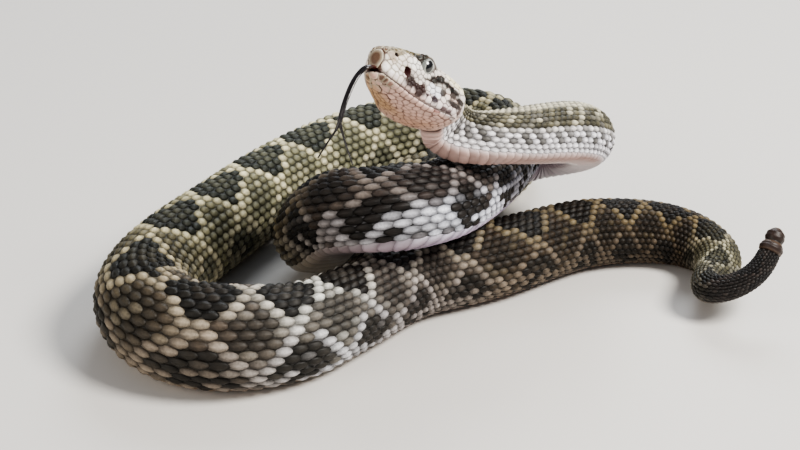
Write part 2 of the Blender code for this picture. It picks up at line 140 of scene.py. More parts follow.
REAR_BODY = (
    (29.0, 17.0, None, 13.1, 0),
    (36.8, 25.0, None, 12.7, 0),
    (44.0, 33.8, None, 12.5, 0),
    (52.0, 41.0, None, 12.4, 0),
    (64.5, 46.5, None, 12.3, 0),
    (77.5, 53.0, None, 12.1, 0),
    (91.0, 62.5, None, 11.5, 0),
    (103.5, 70.0, None, 11.0, 0),
    (116.5, 73.0, None, 10.4, 0),
    (129.4, 72.8, None, 9.8, 0),
    (139.6, 68.5, None, 8.9, 0),
)
TAIL = (
    (144.9, 60.8, 7.4, 7.9, 0),
    (144.4, 52.0, 7.2, 6.8, 0),
    (139.3, 43.0, 8.2, 5.6, 0),
    (137.5, 36.5, 9.8, 4.7, 0),
    (141.6, 32.4, 11.2, 4.1, 0),
    (147.6, 32.4, 13.7, 3.8, 0),
    (152.4, 33.8, 16.4, 3.7, 0),
    (155.4, 36.8, 19.4, 3.6, 0),
    (156.8, 39.4, 22.4, 3.3, 0),
    (158.6, 42.8, 26.6, 3.0, 0),
)

# Named lengths of the body, each from the end of the one before it to this distance along the
# spine line from the neck's joint. None of them bends as far round as a U.
LENGTHS = (
    ("neck_front", 38.0),
    ("neck_bend", 80.0),
    ("neck_rear", 124.0),
    ("trunk_01", 166.0),
    ("trunk_02", 205.0),
    ("trunk_03", 236.0),
    ("trunk_04", 282.0),
    ("trunk_05", 326.0),
    ("trunk_06", 372.0),
    ("trunk_07", 430.0),
    ("trunk_08", 486.0),
    ("trunk_09", 522.0),
    ("trunk_10", 572.0),
    ("trunk_11", 612.0),
    ("trunk_12", 664.0),
    ("trunk_13", 716.0),
    ("tail_base", 744.0),
    ("tail_tip", None),
)

# Head sections: behind the snout, half-width, top, height of the widest line, underside,
# roundness of the top, roundness of the underside (1 is a diamond's edge, 0.5 is boxy).
HEAD_SECTIONS = (
    (0.0, 2.4, 2.1, -0.8, -4.0, 0.70, 0.60),
    (0.5, 3.2, 2.7, -1.1, -5.2, 0.64, 0.66),
    (1.5, 4.0, 3.3, -1.5, -6.6, 0.58, 0.72),
    (3.0, 4.8, 4.1, -1.9, -7.6, 0.54, 0.76),
    (6.0, 6.1, 4.9, -2.4, -8.6, 0.52, 0.80),
    (9.0, 7.2, 5.6, -2.8, -9.2, 0.52, 0.80),
    (11.5, 7.9, 6.0, -3.0, -9.5, 0.53, 0.80),
    (13.5, 8.5, 6.3, -3.1, -9.7, 0.54, 0.80),
    (16.0, 9.3, 6.4, -3.2, -9.9, 0.56, 0.80),
    (19.0, 10.3, 6.2, -3.3, -10.0, 0.60, 0.80),
    (23.0, 11.7, 6.1, -3.3, -10.0, 0.66, 0.82),
    (27.0, 12.7, 6.0, -3.0, -9.9, 0.72, 0.84),
    (30.0, 12.8, 6.0, -2.5, -9.7, 0.78, 0.88),
    (32.5, 11.4, 6.1, -1.8, -9.3, 0.86, 0.92),
    (34.5, 9.0, 6.4, -0.9, -8.9, 0.94, 0.96),
    (36.0, 6.8, 7.0, 0.0, -8.4, 1.00, 1.00),
)
# Mouth line along the upper lips: behind the snout, height.
MOUTH_LINE = (
    (-2.0, -3.9), (0.0, -3.9), (1.5, -4.3), (3.5, -4.8), (6.0, -5.2), (11.0, -6.0), (17.5, -6.5),
    (23.5, -6.4), (27.5, -6.1),
)
# Lower jaw, hanging a little open: behind the snout, half-width, top, underside.
JAW_SECTIONS = (
    (0.9, 1.1, -4.95, -5.6),
    (1.4, 1.8, -4.90, -6.1),
    (2.3, 2.5, -5.00, -6.6),
    (3.6, 3.2, -5.25, -7.0),
    (5.0, 3.9, -5.50, -7.35),
    (8.0, 5.1, -5.95, -7.9),
    (12.0, 6.5, -6.50, -8.5),
    (17.0, 8.3, -6.95, -9.1),
    (22.0, 10.1, -6.85, -9.4),
    (25.5, 11.3, -6.60, -9.5),
    (JAW_END, 11.6, -6.50, -9.6),
)
# Forked tongue: spine points in the row's own position before ORIGIN is taken off, and
# half-width; thickness is a share of the width.
TONGUE_STEM = (
    (42.1, 21.9, 84.5, 0.90),
    (40.7, 20.5, 87.4, 0.95),
    (39.5, 18.9, 88.7, 0.95),
    (38.1, 17.1, 89.2, 0.95),
    (36.2, 16.0, 87.8, 0.95),
    (34.6, 13.5, 86.1, 0.95),
    (32.6, 9.3, 82.5, 0.90),
    (31.2, 6.0, 78.3, 0.85),
)
TONGUE_TINES = (
    ((31.2, 6.0, 78.3, 0.85), (30.2, 4.8, 76.4, 0.50), (28.4, 3.4, 74.1, 0.38), (25.5, 0.6, 70.3, 0.26)),
    ((31.2, 6.0, 78.3, 0.85), (31.8, 4.8, 76.2, 0.50), (32.7, 3.4, 73.4, 0.38), (34.7, 0.6, 68.2, 0.26)),
)
TONGUE_THICKNESS = 0.55


# ------------------------------------------------------------------ spine line
def spine_through(stations, step=STEP, smoothing=20):
    """Evenly spaced samples on a centripetal Catmull-Rom line through the stations."""
    rows = np.array(stations, float)
    ends = np.vstack([2 * rows[0] - rows[1], rows, 2 * rows[-1] - rows[-2]])
    made = []
    for i in range(1, len(ends) - 2):
        p0, p1, p2, p3 = ends[i - 1:i + 3]
        t0 = 0.0
        t1 = t0 + np.linalg.norm((p1 - p0)[:3]) ** 0.5
        t2 = t1 + np.linalg.norm((p2 - p1)[:3]) ** 0.5
        t3 = t2 + np.linalg.norm((p3 - p2)[:3]) ** 0.5
        for t in np.linspace(t1, t2, 16, endpoint=False):
            a1 = (t1 - t) / (t1 - t0) * p0 + (t - t0) / (t1 - t0) * p1
            a2 = (t2 - t) / (t2 - t1) * p1 + (t - t1) / (t2 - t1) * p2
            a3 = (t3 - t) / (t3 - t2) * p2 + (t - t2) / (t3 - t2) * p3
            b1 = (t2 - t) / (t2 - t0) * a1 + (t - t0) / (t2 - t0) * a2
            b2 = (t3 - t) / (t3 - t1) * a2 + (t - t1) / (t3 - t1) * a3
            made.append((t2 - t) / (t2 - t1) * b1 + (t - t1) / (t2 - t1) * b2)
    made.append(ends[-2])
    line = np.array(made)
    along = np.concatenate([[0.0], np.cumsum(np.linalg.norm(np.diff(line[:, :3], axis=0), axis=1))])
    even = np.linspace(0.0, along[-1], int(round(along[-1] / step)) + 1)
    line = np.column_stack([np.interp(even, along, line[:, k]) for k in range(line.shape[1])])
    for _ in range(smoothing):
        line[1:-1] = 0.5 * line[1:-1] + 0.25 * (line[:-2] + line[2:])
    return line


def head_axes():
    """Unit vectors ahead, to the animal's left, and up out of the crown."""
    heading, pitch, roll = (math.radians(x) for x in (HEAD_HEADING, HEAD_PITCH, HEAD_ROLL))
    ahead = np.array([-math.cos(heading) * math.cos(pitch), -math.sin(heading) * math.cos(pitch), math.sin(pitch)])
    left = np.cross([0.0, 0.0, 1.0], ahead)
    left /= np.linalg.norm(left)
    up = np.cross(ahead, left)
    return ahead, left * math.cos(roll) + up * math.sin(roll), up * math.cos(roll) - left * math.sin(roll)


def unit(v):
    return v / np.maximum(np.linalg.norm(v, axis=-1, keepdims=True), 1e-12)


class Spine:
    """The body's spine line: position, half-width, and the axes of the section at each distance."""

    def __init__(self):
        ahead, _, head_up = head_axes()
        rows = []
        for x, y, z, r, lean in NECK + RAISED_COIL + INNER_COIL + OUTER_COIL + REAR_BODY + TAIL:
            rows.append((x, y, BELLY * r if z is None else z, r, lean))
        joint = np.array(SNOUT_TIP) - HEAD_LENGTH * ahead
        rows[0] = (*joint, rows[0][3], 0.0)
        skull = joint + 4.0 * ahead
        line = spine_through([(*skull, rows[0][3], 0.0)] + rows)
        start = int(np.argmin(np.linalg.norm(line[:, :3] - joint, axis=1)))
        line = line[start:]
        line[0, :3] = joint
        self.at = line[:, :3]
        self.r = line[:, 3]
        lean = np.radians(line[:, 4])
        steps = np.linalg.norm(np.diff(self.at, axis=0), axis=1)
        self.s = np.concatenate([[0.0], np.cumsum(steps)])
        self.length = self.s[-1]
        along = np.gradient(self.at, axis=0)
        # Sections stand upright wherever the belly lies on the ground.
        lift = np.clip((self.at[:, 2] - BELLY * self.r) / 1.5, 0.0, 1.0)
        lift = lift * lift * (3 - 2 * lift)
        along[:, 2] *= lift
        along[0] = -ahead
        self.along = unit(along)
        # Carry the head's upright along the neck, then turn it to the wanted lean.
        up = np.zeros_like(self.at)
        up[0] = unit(head_up - self.along[0] * (head_up @ self.along[0]))
        for i in range(1, len(up)):
            up[i] = unit(up[i - 1] - self.along[i] * (up[i - 1] @ self.along[i]))
        wanted = np.column_stack([np.zeros(len(lean)), np.sin(lean), np.cos(lean)])
        wanted = unit(wanted - self.along * np.sum(wanted * self.along, axis=1, keepdims=True))
        side = np.cross(self.along, up)
        turn = np.arctan2(np.sum(wanted * side, axis=1), np.sum(wanted * up, axis=1))
        first = int(np.searchsorted(self.s, 34.0))
        turn[first:] = np.unwrap(turn[first:])
        ease = np.clip(self.s[:first] / 34.0, 0.0, 1.0)
        turn[:first] = turn[first] * ease * ease * (3 - 2 * ease)
        self.up = np.cos(turn)[:, None] * up + np.sin(turn)[:, None] * side
        self.left = np.cross(self.along, self.up)


    def frames(self, s):
        """Position, half-width and axes at each distance of an array."""
        s = np.clip(s, 0.0, self.length)
        pick = lambda values: np.stack([np.interp(s, self.s, values[:, k]) for k in range(3)], axis=-1)
        along = unit(pick(self.along))
        up = pick(self.up)
        up = unit(up - along * np.sum(up * along, axis=-1, keepdims=True))
        return pick(self.at), np.interp(s, self.s, self.r), along, up, np.cross(along, up)


# ------------------------------------------------------------------ small helpers
def metres(points_mm):
    return (np.asarray(points_mm, float) - np.array([ORIGIN[0], ORIGIN[1], 0.0])) * 0.001


def smooth(x):
    x = np.clip(x, 0.0, 1.0)
    return x * x * (3 - 2 * x)


def linear(rgb255):
    """Display colour, 0 to 255, as scene-linear 0 to 1, with the darker tones a little deeper."""
    c = np.asarray(rgb255, float) / 255.0
    return np.where(c <= 0.04045, c / 12.92, ((c + 0.055) / 1.055) ** 2.4) ** 1.22


def mix(a, b, w):
    w = np.asarray(w)[..., None]
    return a * (1 - w) + b * w


def hashed(*keys):
    """A repeatable random number from 0 to 1 for each row of the keys."""
    total = np.zeros(np.broadcast(*keys).shape)
    for k, weight in zip(keys, (12.9898, 78.233, 37.719, 93.989)):
        total = total + np.asarray(k, float) * weight
    x = np.sin(total) * 43758.5453
    return x - np.floor(x)


def make_mesh(name, points_mm, faces, colours=None, uvs=None, flat=False, extra=None):
    """A mesh object from points in millimetres and a list of (count, sides) index arrays."""
    volume = 0.0
    middle = np.asarray(points_mm, float) - np.mean(points_mm, axis=0)
    for f in faces:
        for k in range(1, f.shape[1] - 1):
            volume += np.einsum("ij,ij->", middle[f[:, 0]], np.cross(middle[f[:, k]], middle[f[:, k + 1]]))
    if volume < 0:
        faces = [f[:, ::-1] for f in faces]
    mesh = bpy.data.meshes.new(name)
    points = metres(points_mm)
    mesh.vertices.add(len(points))
    mesh.vertices.foreach_set("co", points.astype(np.float32).ravel())
    loops = np.concatenate([f.ravel() for f in faces]).astype(np.int32)
    sides = np.concatenate([np.full(len(f), f.shape[1]) for f in faces]).astype(np.int32)
    starts = np.concatenate([[0], np.cumsum(sides)[:-1]]).astype(np.int32)
    mesh.loops.add(len(loops))
    mesh.loops.foreach_set("vertex_index", loops)
    mesh.polygons.add(len(sides))
    mesh.polygons.foreach_set("loop_start", starts)
    mesh.polygons.foreach_set("use_smooth", np.full(len(sides), not flat))
    if colours is not None:
        layer = mesh.color_attributes.new("Tint", "FLOAT_COLOR", "POINT")
        rgba = np.ones((len(points), 4), np.float32)
        rgba[:, :3] = colours
        layer.data.foreach_set("color", rgba.ravel())
    for key, values in (extra or {}).items():
        layer = mesh.attributes.new(key, "FLOAT", "POINT")
        layer.data.foreach_set("value", np.asarray(values, np.float32))
    if uvs is not None:
        layer = mesh.uv_layers.new(name="OFBake")
        layer.data.foreach_set("uv", uvs[loops].astype(np.float32).ravel())
    mesh.update(calc_edges=True)
    mesh.validate()
    obj = bpy.data.objects.new(name, mesh)
    bpy.context.scene.collection.objects.link(obj)
    return obj


def grid_faces(rows, columns, wrap):
    """Quads of a grid of points, closed round the columns when wrap is set."""
    i = np.arange(rows - 1)[:, None]
    j = np.arange(columns if wrap else columns - 1)[None, :]
    k = (j + 1) % columns
    quads = np.stack([i * columns + j, i * columns + k, (i + 1) * columns + k, (i + 1) * columns + j], axis=-1)
    return quads.reshape(-1, 4)


# ------------------------------------------------------------------ surfaces
def body_points(spine, s, theta, height):
    """Points over the body: distance along, angle from the back (left is positive), height over the solids."""
    at, r, _, up, left = spine.frames(s)
    turned = np.degrees(np.abs((theta + np.pi) % (2 * np.pi) - np.pi))
    ridge = 1 + RIDGE * np.exp(-(turned / 24.0) ** 2)
    slack = np.interp(s, *np.array(THROAT).T)
    c = np.cos(theta)
    # The belly is flat, with a soft turn at its edges.
    low = -c * 1.0
    flat = BELLY - 0.035 * np.logaddexp(0.0, (BELLY - low) / 0.035)
    c = np.where(low > 0.6, -flat, c * ridge)
    y = (r + height) * np.sin(theta)
    z = (r + height) * c
    z = np.where(z < 0, z * (1 + slack / r), z)
    p = at + left * y[..., None] + up * z[..., None]
    p[..., 2] = np.maximum(p[..., 2], 0.03)
    return p


class Lattice:
    """Counts rows of scales along the body: one for each belly scute."""

    def __init__(self, spine):
        self.spine = spine
        self.s = spine.s
        self.n = np.concatenate([[0.0], np.cumsum(np.diff(spine.s) / (PITCH * 0.5 * (spine.r[1:] + spine.r[:-1])))])

    def count(self, s):
        return np.interp(s, self.s, self.n)

    def place(self, n):
        return np.interp(n, self.n, self.s)


# ------------------------------------------------------------------ markings
PITCH = 0.245                  # length of one row of scales, as a share of the half-width
ROW_TURN = math.radians(11.5)  # angle between neighbouring rows round the body
RHOMB = 5.60                   # rows of scales from one dark rhomb on the back to the next
APEX = 54.0                    # degrees from the back to a rhomb's side corner
COAT = 0.062                   # depth of the coat of scales, as a share of the half-width

# Dark rhombs on the back whose places are known, counted from the neck: number, distance along.
RHOMBS = (
    (0.0, -4.0), (9.0, 163.0), (10.0, 183.0), (11.0, 204.0), (20.0, 386.0), (21.0, 409.0), (22.0, 432.0),
    (23.0, 456.5), (24.0, 481.0), (25.0, 511.0), (26.0, 543.0), (27.0, 564.0), (28.0, 585.5), (29.0, 606.0),
    (30.0, 627.0), (31.0, 651.0), (32.0, 672.0), (33.0, 688.0), (34.0, 703.0), (35.0, 718.0), (36.0, 733.0),
    (39.0, 776.0),
)
# How far each rhomb's side corners lie towards the tail: distance along, shift.
SLANT = ((0.0, 0.0), (390.0, 0.0), (412.0, 4.0), (470.0, 6.0), (500.0, 3.0), (530.0, 0.0), (800.0, 0.0))

# Body tints by length: distance along; then the edge scales, the sides, the dark rhombs, the
# pale low sides, and the belly, each as display red, green and blue. The tints are partly the
# snake's own, with a dark tail, and partly painted light: the rows for the coils' right sides are
# painted lighter and cooler where light falls, and those for their left sides darker and warmer,
# as painted shade.
TINTS = (
    ("nape", 0, (204, 197, 178), (132, 127, 106), (60, 57, 42), (224, 221, 222), (200, 174, 166)),
    ("neck", 60, (200, 195, 176), (130, 125, 104), (58, 55, 40), (224, 222, 227), (196, 170, 164)),
    ("raised coil", 140, (140, 132, 126), (84, 76, 70), (46, 40, 36), (206, 205, 214), (186, 174, 194)),
    ("raised coil, right", 168, (142, 136, 134), (76, 68, 66), (38, 33, 30), (220, 223, 232), (184, 172, 190)),
    ("raised coil, front", 194, (122, 111, 100), (72, 62, 54), (33, 28, 24), (172, 166, 165), (180, 164, 166)),
    ("raised coil, left", 215, (128, 118, 96), (72, 64, 50), (34, 30, 23), (138, 131, 116), (180, 168, 150)),
    ("inner coil", 300, (158, 150, 124), (92, 86, 66), (44, 42, 34), (166, 160, 142), (184, 172, 154)),
    ("outer coil, back", 400, (212, 206, 178), (146, 144, 120), (72, 75, 66), (192, 187, 166), (192, 182, 162)),
    ("outer coil, left", 480, (196, 190, 160), (120, 116, 93), (58, 60, 52), (164, 157, 134), (190, 180, 158)),
    ("front turn", 515, (162, 152, 128), (94, 86, 70), (48, 46, 39), (134, 123, 107), (172, 154, 128)),
    ("front coil", 545, (166, 156, 141), (92, 82, 72), (40, 37, 32), (154, 143, 131), (172, 150, 128)),
    ("front coil, right", 572, (204, 204, 198), (122, 118, 111), (48, 45, 41), (208, 208, 211), (188, 175, 160)),
    ("rear, hidden turn", 600, (164, 158, 150), (100, 93, 87), (46, 39, 35), (168, 162, 160), (182, 167, 157)),
    ("rear", 640, (128, 117, 95), (72, 61, 48), (38, 32, 24), (136, 124, 110), (146, 120, 100)),
    ("rear, by the tail", 712, (118, 104, 78), (62, 51, 37), (34, 27, 19), (82, 70, 57), (126, 101, 83)),
    ("tail base", 730, (172, 168, 147), (120, 116, 94), (70, 68, 51), (164, 160, 146), (176, 165, 149)),
    ("tail", 750, (68, 60, 56), (42, 36, 33), (26, 21, 19), (66, 59, 55), (80, 67, 58)),
    ("tail tip", 790, (60, 53, 49), (38, 32, 29), (24, 19, 17), (58, 51, 47), (72, 61, 52)),
)


def body_marking(lattice, s, theta):
    """Colour of each scale from its place: a net of pale lines one scale wide, with dark rhombs on
    the back, browner ones between them lower down, and small dark ones under the rhombs' corners."""
    table = np.array([row[1] for row in TINTS], float)
    tint = [np.stack([np.interp(s, table, linear([row[k] for row in TINTS])[:, c]) for c in range(3)], axis=-1)
            for k in range(2, 7)]
    pale, side, dark, low, belly = tint
    side_of = np.where(np.abs(theta) > 1e-6, 1.0, 1.0)
    degrees = np.degrees(theta)
    known = np.array(RHOMBS)
    slant = np.interp(s, *np.array(SLANT).T) * np.clip(np.abs(degrees) / APEX, 0, 1.6)
    phase = np.interp(s - slant, known[:, 1], known[:, 0])
    step = np.abs(degrees) / (2 * APEX)
    u, v = phase + step, phase - step
    near = lambda x: np.abs(x - np.floor(x) - 0.5) * RHOMB      # scales from the nearest pale line
    line = np.minimum(near(u), near(v))
    # How many rows of scales a rhomb spans here, against the usual number.
    spread = np.gradient(known[:, 1], known[:, 0])
    rows_here = np.interp(s, known[:, 1], spread) / (PITCH * np.maximum(np.interp(s, lattice.spine.s, lattice.spine.r), 1.0))
    wide = (0.5 / np.clip(rows_here, 4.0, 12.0) + math.degrees(ROW_TURN) / (2 * APEX)) * 0.5 * RHOMB * 0.84
    cell_u, cell_v = np.floor(u + 0.5), np.floor(v + 0.5)
    tier = np.abs(np.round(cell_u - cell_v))                    # 0 back, 1 between, 2 low, 3 lowest
    inner = np.clip((line - 0.5) / 1.2, 0, 1)
    jitter = hashed(np.round(s * 3.1), np.round(degrees * 1.7))
    size = np.abs(u - cell_u) + np.abs(v - cell_v)              # 0 at the middle of a cell, 1 at its corners

    colour = mix(dark, side, np.clip(0.30 - 0.6 * size, 0, 0.3))
    deep = np.interp(s, (230.0, 380.0, 490.0, 530.0), (0.72, 0.42, 0.48, 0.60))
    between = mix(side * 1.0, dark, smooth((0.62 - size) / 0.35) * deep)
    between = mix(between, pale, 0.25 * (jitter > 0.8))
    lower = mix(side, dark, smooth((0.80 - size) / 0.3) * np.clip(deep * 1.5, 0, 0.95))
    lowest = mix(low, side, 0.45 + 0.4 * (size < 0.5))
    colour = np.where((tier == 1)[..., None], between, colour)
    colour = np.where((tier == 2)[..., None], lower, colour)
    colour = np.where((tier >= 3)[..., None], lowest, colour)
    edge = line < wide
    strength = np.interp(np.abs(degrees), (0, 40, 70, 110, 135), (1.0, 1.0, 0.85, 0.7, 0.5))
    strength = strength * (0.75 + 0.25 * jitter)
    raised = smooth((s - 110.0) / 20.0) * (1 - smooth((s - 225.0) / 20.0))
    edge_tint = mix(pale, low, smooth((np.abs(degrees) - 35 - 38 * raised) / (45.0 - 12 * raised)))
    colour = mix(colour, edge_tint, np.where(edge, strength, 0.0))
    # Beside each pale line inside the rhombs the scales are darkest.
    rim = (line >= wide) & (line < 1.3) & (tier == 0)
    colour = np.where(rim[..., None], colour * 0.78, colour)
    # Low on the side, some whole scales are pale.
    some = smooth((np.abs(degrees) - 84) / 30.0) * (hashed(np.round(s * 1.3), np.round(degrees)) > 0.52)
    colour = mix(colour, low, some * 0.75)
    # The net fades on the neck into lines along it.
    nape = 1 - smooth((s - 70.0) / 45.0)
    around = np.abs(degrees)
    beat = 0.5 + 0.5 * np.cos(2 * np.pi * (s - 0.045 * (around - 100.0)) / 3.5)
    spots = 0.5 + 0.5 * np.cos(2 * np.pi * (s + 0.03 * around) / 11.0)
    ridge = np.exp(-(around / 13.0) ** 2)
    middle = smooth((around - 33.0) / 7.0) * (1 - smooth((around - 86.0) / 10.0))
    low_side = smooth((around - 86.0) / 10.0) * (1 - smooth((around - 122.0) / 6.0)) * (beat > 0.62)
    lined = mix(pale, dark, ridge * 0.85)
    mottled = mix(side, dark, np.clip(0.15 + 0.75 * (jitter > 0.55) + 0.5 * (spots > 0.7), 0, 0.95))
    mottled = mix(mottled, pale, 0.75 * ((jitter < 0.20) & (spots < 0.8)))
    lined = mix(lined, mottled, middle * 0.95)
    lined = mix(lined, low, smooth((around - 86.0) / 10.0))
    lined = mix(lined, dark * 1.1, low_side * 0.85)
    colour = mix(colour, lined, nape * 0.9)
    colour = mix(colour, belly, smooth((np.abs(degrees) - 139.0) / 8.0))
    colour = colour * (0.86 + 0.28 * hashed(np.round(s * 7.7), np.round(degrees * 3.3)))[..., None]
    return np.clip(colour, 0.0, 1.0)


# ------------------------------------------------------------------ coat of the body
def coat_depth(r):
    return COAT * r + 0.08


SCALE_ALONG = np.array([0.0, 0.13, 0.30, 0.50, 0.70, 0.87, 1.0])
SCALE_ACROSS = np.array([-1.0, -0.64, -0.24, 0.0, 0.24, 0.64, 1.0])


def scale_template():
    """Face indices of one scale: a domed top, its sides, and a closing face below."""
    m, n = len(SCALE_ALONG), len(SCALE_ACROSS)
    top = grid_faces(m, n, False)
    rim = ([j for j in range(n)] + [i * n + n - 1 for i in range(1, m)]
           + [(m - 1) * n + j for j in range(n - 2, -1, -1)] + [i * n for i in range(m - 2, 0, -1)])
    rim = np.array(rim)
    low = m * n + np.arange(len(rim))
    after = np.roll(np.arange(len(rim)), -1)
    skirt = np.stack([rim[after], rim, low, low[after]], axis=-1)
    return top[:, ::-1], skirt[:, ::-1], low[None, :], rim


def body_scales(spine, lattice, start, end, rows, home_name):
    """Overlapping keeled scales from start to end along the spine line."""
    turn = 2 * math.radians(11.5 * 12.5) / (rows - 0.0)
    half = (rows - 1) // 2
    first, last = lattice.count(start), lattice.count(end)
    stretch = turn / ROW_TURN
    place_n, place_j = [], []
    for j in range(-half, half + 1):
        n = np.arange(math.ceil(first / stretch) - 1, math.floor(last / stretch) + 1) + (0.5 if j % 2 else 0.0)
        n = n[(n * stretch >= first) & (n * stretch < last)]
        place_n.append(n * stretch)
        place_j.append(np.full(len(n), j))
    n, j = np.concatenate(place_n), np.concatenate(place_j)
    count = len(n)
    wobble = lambda k: hashed(n, j, np.full(count, k)) - 0.5
    theta = j * turn + wobble(1) * turn * 0.10
    s = lattice.place(n)
    r = np.interp(s, spine.s, spine.r)
    depth = coat_depth(r)
    p, q = np.meshgrid(SCALE_ALONG, SCALE_ACROSS, indexing="ij")
    outline = np.clip(1 - np.abs(2 * (0.05 + 0.92 * p) - 1) ** 2.6, 0, 1) ** 0.58
    length = stretch * (1.10 + 0.06 * wobble(2))
    n_at = n[:, None, None] - 0.55 * stretch + length[:, None, None] * p
    t_at = theta[:, None, None] + q * outline * turn * (0.555 + 0.03 * wobble(3)[:, None, None])
    s_at = lattice.place(n_at)
    rise = 0.20 + 0.80 * smooth(p / 0.55)
    rise = rise * (1 - 0.50 * smooth((p - 0.72) / 0.30))
    dome = 1 - 0.80 * np.abs(q) ** 2.2
    keel = 0.15 * np.exp(-(q / 0.16) ** 2) * smooth(p / 0.3) * (1 - smooth((p - 0.80) / 0.2))
    up = np.clip(rise * dome * 0.86 + keel, 0, 1)
    height = depth[:, None, None] * (up[None] - 1.0) * (1 + 0.08 * wobble(4)[:, None, None])
    height = height - 0.011 * r[:, None, None]
    top = body_points(spine, s_at, t_at, height).reshape(count, -1, 3)
    top_faces, skirt, under, rim = scale_template()
    low_h = -np.broadcast_to((depth * 1.20)[:, None, None], s_at.shape)
    low = body_points(spine, s_at, theta[:, None, None] + (t_at - theta[:, None, None]) * 0.93, low_h)
    low = low.reshape(count, -1, 3)[:, rim]
    points = np.concatenate([top, low], axis=1)
    per = points.shape[1]

    colour = body_marking(lattice, s, theta)
    # Painted shade: each scale is darker where it lies low and towards its base, under the scale before it, with a
    # painted highlight along its keel.
    shade = (0.50 + 0.58 * smooth((up - 0.25) / 0.62)) + 0.10 * keel / 0.15
    shade = shade * (0.86 + 0.2 * smooth((p - 0.05) / 0.5))
    tops = colour[:, None, None, :] * shade[None, :, :, None]
    tops = tops.reshape(count, -1, 3)
    # Painted shade: the scale's sides and underside are painted at a third of its colour.
    shaded_sides = tops[:, rim] * 0.34
    colours = np.clip(np.concatenate([tops, shaded_sides], axis=1), 0, 1)

    u = 0.02 + 0.96 * s / spine.length
    v = 0.5 + 0.46 * theta / math.pi
    patch = np.stack([u[:, None] + 0.0030 * (p.ravel() - 0.5), v[:, None] + 0.0015 * (q * outline).ravel()], axis=-1)
    uvs = np.concatenate([patch, patch[:, rim]], axis=1)

    offset = (np.arange(count) * per)[:, None, None]
    faces = [(top_faces[None] + offset).reshape(-1, 4), (skirt[None] + offset).reshape(-1, 4),
             (under[None] + offset).reshape(-1, under.shape[1])]
    return make_mesh(home_name, points.reshape(-1, 3), faces, colours.reshape(-1, 3), uvs.reshape(-1, 2))


def belly_scutes(spine, lattice, start, end):
    """One wide plate across the belly for each row of scales, overlapping towards the tail."""
    n = np.arange(math.ceil(lattice.count(start)), math.floor(lattice.count(end)) + 1, dtype=float)
    count = len(n)
    s = lattice.place(n)
    r = np.interp(s, spine.s, spine.r)
    depth = coat_depth(r)
    along = np.array([0.0, 0.12, 0.35, 0.60, 0.82, 0.95, 1.0])
    across = np.sin(np.linspace(-1, 1, 21) * math.pi / 2)
    p, q = np.meshgrid(along, across, indexing="ij")
    span = math.radians(39.0)
    narrow = np.clip(1 - np.abs(2 * p - 1) ** 5, 0, 1) ** 0.5 * 0.10 + 0.90
    n_at = n[:, None, None] - 0.58 + 1.22 * p - 0.20 * (q ** 4) * np.ones_like(p)
    t_at = math.pi + q * narrow * span
    t_at = np.broadcast_to(t_at, n_at.shape)
    s_at = lattice.place(n_at)
    up = (0.40 + 0.50 * smooth(p / 0.8)) * (1 - 0.45 * smooth((p - 0.9) / 0.1)) * (1 - 0.55 * np.abs(q) ** 8)
    height = depth[:, None, None] * (up[None] - 1.0)
    m, k = p.shape
    top = body_points(spine, s_at, t_at, np.minimum(height, -0.03)).reshape(count, -1, 3)
    quads = grid_faces(m, k, False)
    rim = ([c for c in range(k)] + [i * k + k - 1 for i in range(1, m)]
           + [(m - 1) * k + c for c in range(k - 2, -1, -1)] + [i * k for i in range(m - 2, 0, -1)])
    rim = np.array(rim)
    low_at = m * k + np.arange(len(rim))
    after = np.roll(np.arange(len(rim)), -1)
    skirt = np.stack([rim[after], rim, low_at, low_at[after]], axis=-1)[:, ::-1]
    low = body_points(spine, s_at, t_at, np.broadcast_to(-(depth * 1.16)[:, None, None], s_at.shape))
    low = low.reshape(count, -1, 3)[:, rim]
    points = np.concatenate([top, low], axis=1)
    per = points.shape[1]
    colour = body_marking(lattice, s, np.full(count, math.pi))
    edge = body_marking(lattice, s, np.full(count, math.radians(134.0)))
    weight = smooth((np.abs(q) - 0.70) / 0.3) * 0.5
    tops = mix(np.broadcast_to(colour[:, None, None], (count, m, k, 3)),
               np.broadcast_to(edge[:, None, None], (count, m, k, 3)), np.broadcast_to(weight, (count, m, k)))
    # Painted shade: each scute is darker at its front, under the one before it, and a little at its rear edge; its
    # sides are painted at under half its colour.
    tops = tops * (0.55 + 0.5 * smooth(p / 0.5) * (1 - 0.35 * smooth((p - 0.9) / 0.1)))[None, :, :, None]
    tops = tops.reshape(count, -1, 3)
    colours = np.clip(np.concatenate([tops, tops[:, rim] * 0.45], axis=1), 0, 1)
    u = 0.02 + 0.96 * s / spine.length
    v = np.full(count, 0.985)
    patch = np.stack([u[:, None] + 0.0030 * (p.ravel() - 0.5), v[:, None] + 0.0100 * q.ravel()], axis=-1)
    uvs = np.concatenate([patch, patch[:, rim]], axis=1)
    offset = (np.arange(count) * per)[:, None, None]
    faces = [(quads[:, ::-1][None] + offset).reshape(-1, 4), (skirt[None] + offset).reshape(-1, 4),
             (low_at[None, None] + offset).reshape(-1, len(low_at))]
    return make_mesh("belly_scutes", points.reshape(-1, 3), faces, colours.reshape(-1, 3), uvs.reshape(-1, 2))


# ------------------------------------------------------------------ head surfaces
HEAD_INSET = 0.36              # how far the head's skin lies inside the solids
ACROSS_OUT, ACROSS_IN = 120, 40   # samples of one side: from the crown to the lip, and below it
LIP_A = 27.2
EYE_LOOK = (-0.36, 0.925, -0.11)  # the way the left eye looks: back is positive, left, up
EYE_OPEN = 2.20                # half-width of the opening of the lids
EYE_RIM = 1.72                 # height of the rim over the ball's middle
NOTCH_TOP, NOTCH_HALF = -2.75, 1.30   # arch under the snout that the tongue passes


